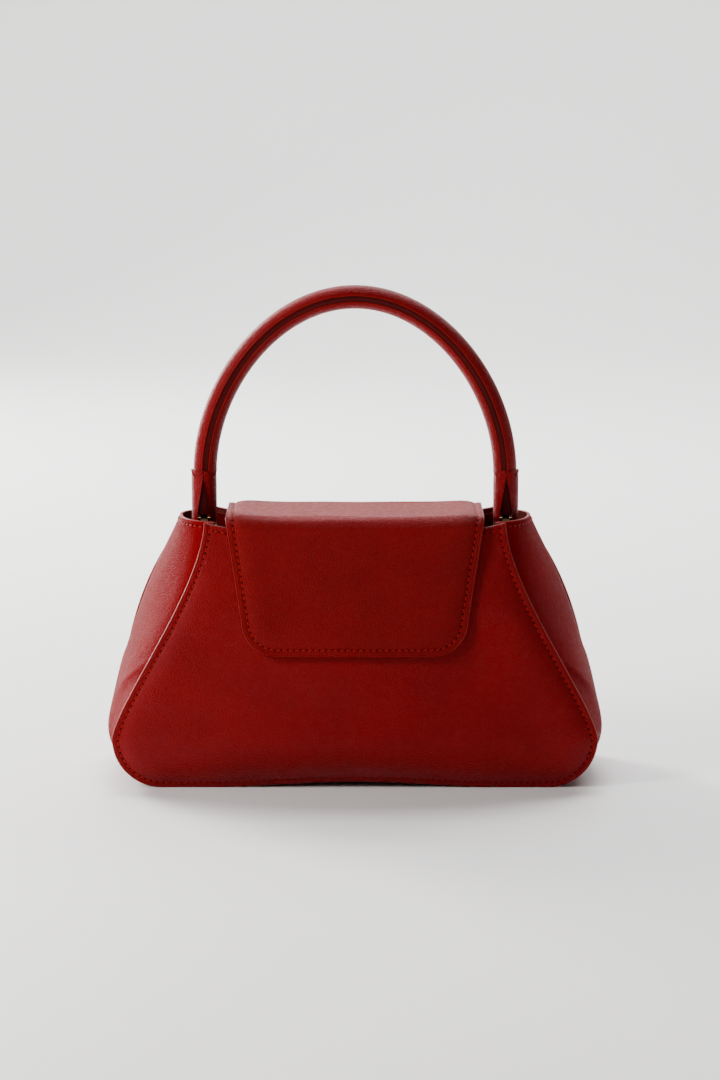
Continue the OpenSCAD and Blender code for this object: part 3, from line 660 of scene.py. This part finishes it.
def band_grids(stations, n, shape=lambda st, s: 0.0):
    """Outer and inner grids of a band with flanges along both panels and a roll between them."""
    outer, inner = [], []
    root, deep = -FLANGE_W, -FLANGE_W - GUSSET_T
    for st in stations:
        front_edge, back_edge = st[0], st[1]
        y0 = st[4] - PANEL_T - LAYER_GAP - GUSSET_T
        y1 = y0 + GUSSET_T
        yr = y0 - ROLL_IN
        shares = eased(n)
        outer.append([flange_pt(front_edge, st, a, y) for a, y in
                      ((0, -y0), (root + FOLD_R, -y0), (root, -y0 + FOLD_STEP))]
                     + [roll_pt(st, s, shape(st, s)) for s in shares]
                     + [flange_pt(back_edge, st, a, y) for a, y in
                        ((root, y0 - FOLD_STEP), (root + FOLD_R, y0), (0, y0))])
        inner.append([flange_pt(front_edge, st, a, y) for a, y in
                      ((0, -y1), (deep + FOLD_R, -y1), (deep, -y1 + FOLD_R), (deep, -yr + FOLD_R))]
                     + [roll_pt(st, s, GUSSET_T + shape(st, s)) for s in shares[1:-1]]
                     + [flange_pt(back_edge, st, a, y) for a, y in
                        ((deep, yr - FOLD_R), (deep, y1 - FOLD_R), (deep + FOLD_R, y1), (0, y1))])
    return outer, inner


def mirrored(grid, side):
    """The grid on the left for side -1, on the right for side 1."""
    return [[(side * x, y, z) for x, y, z in row] for row in grid]


PINCH, CREASE, RIPPLE, RIDGE_MID_Z, RIDGE_RISE = 2.2, 1.2, 0.45, 36, 26


def gusset_dent(st, s):
    """Depth of the pinch below the fold that runs across each gusset, in millimetres."""
    z = st[0][1]
    edge = min(1.0, 6 * s, 6 * (1 - s))
    near = abs(2 * s - 1)
    ridge_z = RIDGE_MID_Z + RIDGE_RISE * near
    below = 1 / (1 + math.exp((z - ridge_z + 4) / 1.8))
    fade = max(0.0, min(1.0, z / 22))
    crease = math.exp(-((z - ridge_z - 1) / 2.6) ** 2)
    ripple = RIPPLE * noise.noise(Vector((s * 3.1, z * 0.03, 5.2)))
    return edge * ((PINCH * below * fade - CREASE * crease) * near ** 1.5 + ripple)


SIDES = ("left", -1), ("right", 1)
BAND_STEPS = 44
side_stations = [side_station(z) for z in levels(RIM_H, CORNER_R, 60)]
side_stations += [corner_station(90 * i / 16) for i in range(1, 17)]
for tag, side in SIDES:
    outer, inner = band_grids(side_stations, BAND_STEPS, gusset_dent)
    skin = shell(tag + "_gusset_skin", mirrored(outer, side), mirrored(inner, side), [SIDE_RED, EDGE, SUEDE])
    dress(skin, "bag_body", "leather", tag + "_gusset")
    inner_rim = [roll_pt(side_stations[0], s, GUSSET_T) for s in eased(BAND_STEPS)]
    rim_edge = [((a[0] + b[0]) / 2 * side, (a[1] + b[1]) / 2, (a[2] + b[2]) / 2)
                for a, b in zip(outer[0][3:-3], inner_rim)]
    lip = bead(tag + "_gusset_rim_edge", rim_edge, (0, 0, 1), 0.35, GUSSET_T / 2 + 0.08, EDGE)
    dress(lip, "bag_body", "leather")
    hem = [roll_pt(side_station(RIM_H - 2.4), s, 0) for s in np.linspace(0.03, 0.97, 60)]
    hem = [(side * x, y, z) for x, y, z in hem]
    outs = [unit((x - side * 60, y * 1.2, 0)) for x, y, z in hem]
    dress(stitches(tag + "_gusset_hem_stitches", hem, outs), "bag_body", "leather")

base_w = FRONT_LOW - CORNER_R - LAYER_GAP
base_outer, base_inner = band_grids([base_station(base_w * (1 - i / 30)) for i in range(61)], 24)
base = shell("base_skin", base_outer, base_inner, [RED, EDGE, SUEDE])
dress(base, "bag_body", "leather", "base_panel")


# Rim: folded hems of the panels
def rim_line(p, fy, z, depth, half, n=80):
    """Line along a panel's rim at height z, depth behind its face."""
    return [(x, fy * (belly_y(x, z) - depth), z + sag(x, z)) for x in np.linspace(-half, half, n)]


RIM_IN = 0.4
for tag, p, fy, half, z in (("front", FRONT_X, -1, FRONT_TOP - RIM_IN, RIM_H),
                            ("back", BACK_X, 1, BACK_TOP - RIM_IN, RIM_H + BACK_RISE)):
    path = rim_line(p, fy, z - 0.1, PANEL_T / 2 + 0.3, half)
    dress(bead(tag + "_rim_edge", path, (0, 0, 1), 0.5, PANEL_T / 2 + 0.4, RED), "bag_body", "leather")
    line = rim_line(p, fy, z - 2.3, 0, half - 4)
    dress(stitches(tag + "_rim_stitches", line, [(0, fy, 0.1)] * len(line)), "bag_body", "leather")

# Inside
LINING_Y = PANEL_T + CURVE_GAP + STIFF_T + CURVE_GAP


def layer(name, p, fy, top, low, inset, thick, rows, cols, mat):
    """Layer of even thickness behind a panel, from top to low."""
    near, far = [panel_grid(p, fy, top, low, inset, LINING_Y + d, rows, cols) for d in (0, thick)]
    return shell(name, near, far, [mat] * 3)


for tag, p, fy in (("front", FRONT_X, -1), ("back", BACK_X, 1)):
    inset = FLANGE_W + GUSSET_T
    skin = layer(tag + "_lining_skin", p, fy, RIM_H - 15, 12, inset + 3, LINING_T, 30, 40, SUEDE)
    dress(skin, "bag_body", "lining", tag + "_lining")
    band = layer(tag + "_facing_skin", p, fy, RIM_H - 0.5, RIM_H - 14, inset + 1.5, FACING_T, 8, 60, RED)
    dress(band, "bag_body", "leather", tag + "_facing")
lining_stations = [side_station(z) for z in levels(RIM_H - 8, CORNER_R, 30)]
lining_stations += [corner_station(a) for a in (22.5, 45, 67.5)]
for tag, side in SIDES:
    near, far = [[[roll_pt(st, 0.1 + 0.8 * i / 24, GUSSET_T + CURVE_GAP + d) for i in range(25)]
                  for st in lining_stations] for d in (0, LINING_T)]
    skin = shell(tag + "_gusset_lining_skin", mirrored(near, side), mirrored(far, side), [SUEDE] * 3)
    dress(skin, "bag_body", "lining", tag + "_gusset_lining")


def base_grid(h, half_w=90, half_d=29):
    """Flat grid h over the base's seams, hollowed as the base is."""
    z0 = FLANGE_W + GUSSET_T + 0.2
    return [[(x, -half_d + 2 * half_d * j / 12, arch_at(x) + z0 + h) for j in range(13)]
            for x in np.linspace(half_w, -half_w, 41)]


BOARD_TOP = 2.1
base_lining = shell("base_lining_skin", base_grid(BOARD_TOP), base_grid(BOARD_TOP + LINING_T), [SUEDE] * 3)
dress(base_lining, "bag_body", "lining", "base_lining")


def pocket_grid(d):
    """Slip pocket on the back lining, d in from its face."""
    depth = LINING_Y + LINING_T + CURVE_GAP + d
    return [[(x, belly_y(x, z) - depth, z) for x in np.linspace(-55, 55, 31)]
            for z in np.linspace(100, 45, 14)]


pocket = shell("slip_pocket_skin", pocket_grid(0), pocket_grid(LINING_T), [SUEDE] * 3)
dress(pocket, "bag_body", "lining", "slip_pocket")


# Flap, in one run from the strip on the back, over the mouth, to the lower edge in front
KNEE_Z = FLAP_LOW_Z + FLAP_CORNER_R
KNEE_X = FLAP_LOW_W - FLAP_CORNER_R
BRIDGE_R = FLAP_TOP_Z - FOLD_Z


def flap_w(z):
    """Half width of the flap at height z."""
    if z > KNEE_Z:
        return FLAP_LOW_W + (FLAP_TOP_W - FLAP_LOW_W) * (z - KNEE_Z) / (FLAP_TOP_Z - KNEE_Z)
    return KNEE_X + math.sqrt(max(0.0, FLAP_CORNER_R ** 2 - (KNEE_Z - z) ** 2))


def flap_stations(part):
    """(kind, value) of each row, from the middle of the bridge outward to the end of the part."""
    rows = [("flat", f) for f in np.linspace(0, 1, 10)]
    rows += [("fold", a) for a in np.linspace(90, 0, 15)[1:]]
    if part == "back":
        return rows + [("hang", z) for z in np.linspace(FOLD_Z, ROOT_LOW_Z, 12)[1:]]
    rows += [("hang", z) for z in np.linspace(FOLD_Z, KNEE_Z, 40)[1:]]
    corner = [math.radians(a) for a in np.linspace(0, 90, 31)[1:]]
    return rows + [("hang", FLAP_LOW_Z + FLAP_CORNER_R * (1 - math.sin(a))) for a in corner]


def flap_edge_gap(x, z):
    """Distance of a point of the hanging flap from its outline."""
    if z < KNEE_Z and abs(x) > KNEE_X:
        return max(0.0, FLAP_CORNER_R - math.hypot(abs(x) - KNEE_X, KNEE_Z - z))
    return max(0.0, min(flap_w(z) - abs(x), z - FLAP_LOW_Z))


FLAP_PUFF, FLAP_SEED, FLAP_REACH = 0.8, 9.1, 6.5
CURL, CURL_FROM, CURL_RUN = 0.5, 90, 23


def flap_pt(fy, kind, value, u, inset, d):
    """Point of the flap: kind of stretch and place along it, share u across, depth d below its face."""
    r = BRIDGE_R
    if kind == "hang":
        w = flap_w(value) - inset
    else:
        w = flap_w(FOLD_Z + r * (math.sin(math.radians(value)) if kind == "fold" else 1.0)) - inset
    x = u * w
    gap = flap_edge_gap(x, value) if kind == "hang" and fy < 0 else max(0.0, w + inset - abs(x))
    sink = d if d else -relief(gap, STITCH_IN, FLAP_PUFF, FLAP_SEED, x, value, FLAP_REACH)
    if kind == "hang":
        curl = CURL * max(0.0, (CURL_FROM - value) / CURL_RUN) ** 2 if fy < 0 else 0.0
        return (x, fy * (belly_y(x, value) + FLAP_GAP + FLAP_T - sink + curl), value)
    c = belly_y(x, FOLD_Z) + FLAP_GAP + FLAP_T - r
    if kind == "fold":
        a = math.radians(value)
        return (x, fy * (c + (r - sink) * math.cos(a)), FOLD_Z + (r - sink) * math.sin(a))
    return (x, fy * c * value, FLAP_TOP_Z - sink)


FACES = {"front": -1, "back": 1}


def flap_grid(part, d):
    """Grid of a part of the flap, d below its face."""
    grid = []
    for kind, value in flap_stations(part):
        shares = across(flap_w(value if kind == "hang" else FLAP_TOP_Z), 40)
        grid.append([flap_pt(FACES[part], kind, value, u, 0, d) for u in shares])
    return grid


def bend(obj):
    """Bake the transform of a piece of the flap into its mesh."""
    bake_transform(obj)
    return obj


REPLACED = {"front": ("flap_front", "flap_front_lining", "flap_bridge", "flap_bridge_lining"),
            "back": ("flap_root",)}
for part in ("front", "back"):
    faces = [flap_grid(part, d) for d in (0, FLAP_T)]
    skin = shell("flap_" + part + "_skin", *faces, [FLAP_RED, EDGE, SUEDE])
    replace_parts(bend(skin), *REPLACED[part])


def flap_edge(part, inset, d):
    """Line down one side of a part of the flap, along its end and up the other side."""
    fy = FACES[part]
    rows = flap_stations(part)
    right = [flap_pt(fy, k, v, 1, inset, d) for k, v in rows]
    z_end = rows[-1][1]
    end = [flap_pt(fy, "hang", z_end, u, inset, d) for u in np.linspace(1, -1, 41)[1:-1]]
    left = [flap_pt(fy, k, v, -1, inset, d) for k, v in rows][::-1]
    return right + end + left


def flap_out(path, fy):
    """Way out of the flap at each point of a line on it."""
    out = []
    for x, y, z in path:
        if z < FOLD_Z:
            out.append((0, fy, 0.15))
        else:
            c = belly_y(x, FOLD_Z) + FLAP_GAP + FLAP_T - BRIDGE_R
            out.append(unit((0, max(0.0, abs(y) - c) * fy, z - FOLD_Z + 0.01)))
    return out


for part, fy in FACES.items():
    path = flap_edge(part, 0.05, FLAP_T / 2)
    outs = flap_out(path, fy)
    ways = [(unit(cross(way_at(path, i), outs[i])), outs[i]) for i in range(len(path))]
    bend(sweep("flap_" + part + "_edge", path, ways, ellipse(0.5, FLAP_T / 2 + 0.04, 12), EDGE))


STITCH_SINK = 0.3


def flap_stitch_line():
    """Line of the flap's stitches, from the bridge down one side, round and up the other."""
    right = [flap_pt(-1, k, v, 1 - STITCH_IN / flap_w(v if k == "hang" else FLAP_TOP_Z), 0, STITCH_SINK)
             for k, v in flap_stations("front") if k != "hang" or v > KNEE_Z]
    r = FLAP_CORNER_R - STITCH_IN
    corner = [(KNEE_X + r * math.cos(a), KNEE_Z - r * math.sin(a)) for a in np.linspace(0, math.pi / 2, 16)]
    low = [(x, KNEE_Z - r) for x in np.linspace(KNEE_X, 0, 16)[1:]]
    half = right + [flap_pt(-1, "hang", z, x / flap_w(z), 0, STITCH_SINK) for x, z in corner + low]
    return half + [(-x, y, z) for x, y, z in half[:-1][::-1]]


line = flap_stitch_line()
bend(stitches("flap_stitches", line, flap_out(line, -1)))
back_line = [flap_pt(1, "hang", ROOT_LOW_Z + 2.6, u, 0, 0) for u in np.linspace(-0.95, 0.95, 60)]
bend(stitches("flap_root_stitches", back_line, flap_out(back_line, 1)))


# Handle
TAB_X = LEG_X + 0.55
COVER_IN, WRAP_R, CORD_IN = 4.9, 5.1, 0.35
WEDGE_TOP = ARCH_Z0 - 1.2


def arch_pt(t):
    """X and Z of the middle line of the arch, from the leg at 0 to the top at 1."""
    return (bez(t, (LEG_X, LEG_X, ARCH_REACH, 0)),
            bez(t, (ARCH_Z0, ARCH_Z0 + ARCH_RISE, HANDLE_TOP, HANDLE_TOP)))


def arch_rings(n=70):
    """Points of the whole arch, each with its way outward."""
    half = []
    for i in range(n + 1):
        t = i / n
        a, b = arch_pt(max(0, t - 0.002)), arch_pt(min(1, t + 0.002))
        d = unit((b[0] - a[0], 0, b[1] - a[1]))
        p = arch_pt(t)
        half.append(((p[0], 0, p[1]), (d[2], 0, -d[0])))
    left = [((-p[0], 0, p[2]), (-w[0], 0, w[2])) for p, w in half]
    return left[:-1] + half[::-1]


RINGS = arch_rings()
RING_PATH = [p for p, _ in RINGS]
RING_WAYS = [(w, (0, 1, 0)) for _, w in RINGS]
# Where the covers end round the handle, from their shares of its width as seen from the front
OUTER_SHARE, INNER_SHARE = 0.38, 0.70
OUTER_A = math.degrees(math.acos(1 - 2 * OUTER_SHARE))
INNER_A = math.degrees(math.acos(1 - 2 * INNER_SHARE))


def cover_section(a0, a1, n=26, lip=0.35):
    """Cover of the handle from angle a0 to a1: round outside, with soft turned edges at both ends."""
    pts = []
    for i in range(n + 1):
        f = i / n
        a = math.radians(a0 + (a1 - a0) * f)
        r = HANDLE_R - lip * max(0.0, 1 - min(f, 1 - f) * n / 2) ** 2
        pts.append((r * math.cos(a), r * math.sin(a)))
    for i in range(n, -1, -1):
        a = math.radians(a0 + (a1 - a0) * i / n)
        pts.append((COVER_IN * math.cos(a), COVER_IN * math.sin(a)))
    return pts


for word, a0, a1 in (("outer", -OUTER_A, OUTER_A), ("inner", INNER_A, 360 - INNER_A)):
    cover = sweep(f"handle_{word}_skin", RING_PATH, RING_WAYS, cover_section(a0, a1), RED)
    dress(cover, "handle", "leather", f"handle_{word}_cover")
# The recessed band between the covers is real; its dark red colour is painted shade in the groove
wrap = sweep("handle_wrap_skin", RING_PATH, RING_WAYS, ellipse(WRAP_R, WRAP_R, 40), DARK_RED)
dress(wrap, "handle", "dark_leather", "handle_wrap")


def cord_path(angle, r):
    """Line along the arch at an angle round it and r from its middle line."""
    a = math.radians(angle)
    return [(p[0] + w[0] * r * math.cos(a), r * math.sin(a), p[2] + w[2] * r * math.cos(a))
            for p, w in RINGS]


for word, angle, thick in (("outer", OUTER_A, 0.42), ("inner", INNER_A, 0.3)):
    for way, sign in (("front", -1), ("back", 1)):
        cord = sweep(f"handle_{word}_{way}_cord", cord_path(sign * angle, HANDLE_R - CORD_IN), RING_WAYS,
                     ellipse(thick, thick, 8), EDGE)
        dress(cord, "handle", "leather")


def wedge_share(z):
    """0 where the tabs of a leg still meet, rising to 1 where they stand fully apart."""
    return min(1.0, max(0.0, (WEDGE_TOP - z) / WEDGE_H))


SHADE_FILL_ROWS, SHADE_FILL_LOW_Z = 14, PIVOT_Z + 6.3


def painted_shade_fill(name, side):
    """Painted shade: a dark red fill in the wedge between two tabs, down to just above the lug, where the
    gap is in shadow.
    """
    verts, deep = [], 4.6
    for z in np.linspace(ARCH_Z0 + 1, SHADE_FILL_LOW_Z, SHADE_FILL_ROWS):
        half = 0.4 + (TAB_SPACE / 2 - 0.25) * wedge_share(z)
        ring = [(half, -deep + 0.5), (half * 0.6, -deep), (-half * 0.6, -deep), (-half, -deep + 0.5),
                (-half, deep - 0.5), (-half * 0.6, deep), (half * 0.6, deep), (half, deep - 0.5)]
        verts += [(side * (TAB_X + a), b, z) for a, b in ring]
    n = len(ring)
    faces = tube_faces(SHADE_FILL_ROWS, n) + [cap(n)[::-1], cap(n, (SHADE_FILL_ROWS - 1) * n)]
    obj = mesh_object(name, verts, faces, [DARK_RED])
    fix_normals(obj)
    return obj


# Dark red fills that paint the shade between the tabs of each leg
for tag, side in SIDES:
    dress(painted_shade_fill(tag + "_painted_shade_fill", side), "handle", "dark_leather")


TAB_TOP, TAB_GAP, TAB_STEPS = ARCH_Z0 + 1.5, 0.06, 16


def tab_mesh(name, side, hand):
    """Half-round tab that parts from its twin in a wedge and ends in a round tip at the pivot."""
    tip = [math.radians(a) for a in np.linspace(0, 88, 12)[1:]]
    path_rows = []
    for z in list(np.linspace(TAB_TOP, PIVOT_Z, 26)) + [PIVOT_Z - TAB_R * math.sin(a) for a in tip]:
        flat = TAB_GAP + (TAB_SPACE / 2 - TAB_GAP) * wedge_share(z)
        r = TAB_R if z < ARCH_Z0 - 3 else TAB_R - 0.25 * (z - ARCH_Z0 + 3) / 4.5
        reach = math.sqrt(max(0.01, TAB_R ** 2 - (PIVOT_Z - z) ** 2)) if z < PIVOT_Z else TAB_R
        half = min(math.sqrt(max(0.01, r * r - flat * flat)), reach)
        ring = []
        for k in range(TAB_STEPS + 1):
            y = half * math.sin(math.radians(-90 + 180 * k / TAB_STEPS))
            x = math.sqrt(max(flat * flat, r * r - y * y))
            soft_edge = 0.35 * (abs(y) / half) ** 8
            ring.append((side * (TAB_X + hand * (max(flat + 0.4, x) - soft_edge)), y, z))
        for k in range(TAB_STEPS, -1, -1):
            y = half * math.sin(math.radians(-90 + 180 * k / TAB_STEPS)) * 0.97
            ring.append((side * (TAB_X + hand * flat), y, z))
        path_rows.append(ring)
    n = len(path_rows[0])
    verts = [p for ring in path_rows for p in ring]
    faces = tube_faces(len(path_rows), n) + [cap(n), cap(n, (len(path_rows) - 1) * n)[::-1]]
    obj = mesh_object(name, verts, faces, [RED])
    fix_normals(obj)
    return obj


for tag, side in SIDES:
    for word, hand in (("outer", 1), ("inner", -1)):
        dress(tab_mesh(f"{tag}_{word}_tab_skin", side, hand), "handle", "leather", f"{tag}_{word}_tab")


def collar(name, side, hand, front):
    """Pointed edge where a cover meets its tab: a thin cord in a V round a quarter of the leg."""
    path, ways = [], []
    for i in range(17):
        f = i / 16
        a = math.radians(8 + 78 * f)
        z = ARCH_Z0 + 1.3 - 3.2 * (1 - abs(2 * f - 1))
        out = (side * hand * math.cos(a), front * math.sin(a), 0.0)
        path.append((side * TAB_X + out[0] * (TAB_R - 0.05), out[1] * (TAB_R - 0.05), z))
        ways.append((out, (0, 0, 1)))
    return sweep(name, path, ways, ellipse(0.3, 0.34, 8), EDGE)


for tag, side in SIDES:
    for word, hand in (("outer", 1), ("inner", -1)):
        for way, front_sign in (("front", -1), ("back", 1)):
            dress(collar(f"{tag}_{word}_{way}_collar", side, hand, front_sign), "handle", "leather")


# Frame nodes that stay
KEEP = {"brass": ("snap_socket", "snap_washer", "snap_stud", "left_pin", "right_pin", "pin_caps",
                  "pivot_washers", "left_lug", "right_lug", "left_rivets", "right_rivets"),
        "board": ("front_stiffener", "back_stiffener", "base_board"), "cord": ("handle_core",),
        "leather": ("left_patch", "right_patch")}
FINISH = {"brass": BRASS, "board": BOARD, "cord": CORD, "leather": DARK_RED}
for kind, names in KEEP.items():
    for name in names:
        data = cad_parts[name].data
        data.materials.clear()
        data.materials.append(FINISH[kind])


# Stage, lights and camera
def stage_material(name, color, rough):
    """Even material of the stage."""
    mat = bpy.data.materials.new(name)
    mat.use_nodes = True
    bsdf = mat.node_tree.nodes["Principled BSDF"]
    bsdf.inputs["Base Color"].default_value = color
    bsdf.inputs["Roughness"].default_value = rough
    return mat


def cove():
    """Pale floor that curves up into a backdrop."""
    bends = [(FLOOR_BACK + COVE_R * math.sin(a), COVE_R - COVE_R * math.cos(a))
             for a in np.linspace(0.1, math.pi / 2, 14)]
    rows = [(-FLOOR_FRONT, 0), (FLOOR_BACK, 0)] + bends + [(FLOOR_BACK + COVE_R, WALL_H)]
    verts = [(x, y, z) for y, z in rows for x in (-FLOOR_SIDE, FLOOR_SIDE)]
    faces = [(2 * i, 2 * i + 1, 2 * i + 3, 2 * i + 2) for i in range(len(rows) - 1)]
    obj = mesh_object("floor", verts, faces, [stage_material("pale_floor", (0.86, 0.85, 0.84, 1), 0.6)])


# Places and sizes of the lights and the camera are in metres
def area(name, place, target, size, energy, color=(1, 1, 1)):
    """Rectangular light at place that faces target."""
    data = bpy.data.lights.new(name, "AREA")
    data.shape = "RECTANGLE"
    data.size, data.size_y = size
    data.energy = energy
    data.color = color
    obj = bpy.data.objects.new(name, data)
    obj.location = place
    obj.rotation_euler = (Vector(target) - Vector(place)).to_track_quat("-Z", "Y").to_euler()
    bpy.context.scene.collection.objects.link(obj)


cove()
area("window", (-1.0, 1.2, 0.7), (0, 0, 0.1), (0.5, 1.1), 58, (1.0, 0.97, 0.94))
area("left_bounce", (-0.75, -0.42, 0.6), (-0.03, 0, 0.09), (0.2, 0.35), 9.5, (1.0, 0.96, 0.94))
area("front_fill", (-0.5, -2.0, 1.1), (0, 0, 0.08), (0.8, 0.6), 1.3)
area("top_soft", (-0.2, 0.9, 1.7), (0, 0, 0.1), (1.2, 0.8), 11)
area("right_rim", (0.75, 1.1, 1.15), (0, 0, 0.2), (0.5, 0.4), 9)
area("backdrop_wash", (0, 1.1, 2.5), (0, 2.3, 0.5), (1.6, 0.8), 110)
world = bpy.data.worlds.new("soft_room")
bpy.context.scene.world = world
world.use_nodes = True
world.node_tree.nodes["Background"].inputs[0].default_value = (1, 1, 1, 1)
world.node_tree.nodes["Background"].inputs[1].default_value = 0.08

CAM_DISTANCE, CAM_ELEVATION, CAM_AIM_Z, CAM_SIDE = 1.5, 10.0, 0.1177, 0.0025
cam_data = bpy.data.cameras.new("camera")
cam_data.sensor_fit = "VERTICAL"
cam_data.sensor_height = 36.0
cam_data.lens = 100.0
cam = bpy.data.objects.new("camera", cam_data)
rise = math.radians(CAM_ELEVATION)
cam.location = (CAM_SIDE, -CAM_DISTANCE * math.cos(rise), CAM_AIM_Z + CAM_DISTANCE * math.sin(rise))
cam.rotation_euler = (math.pi / 2 - rise, 0, 0)
bpy.context.scene.collection.objects.link(cam)
bpy.context.scene.camera = cam
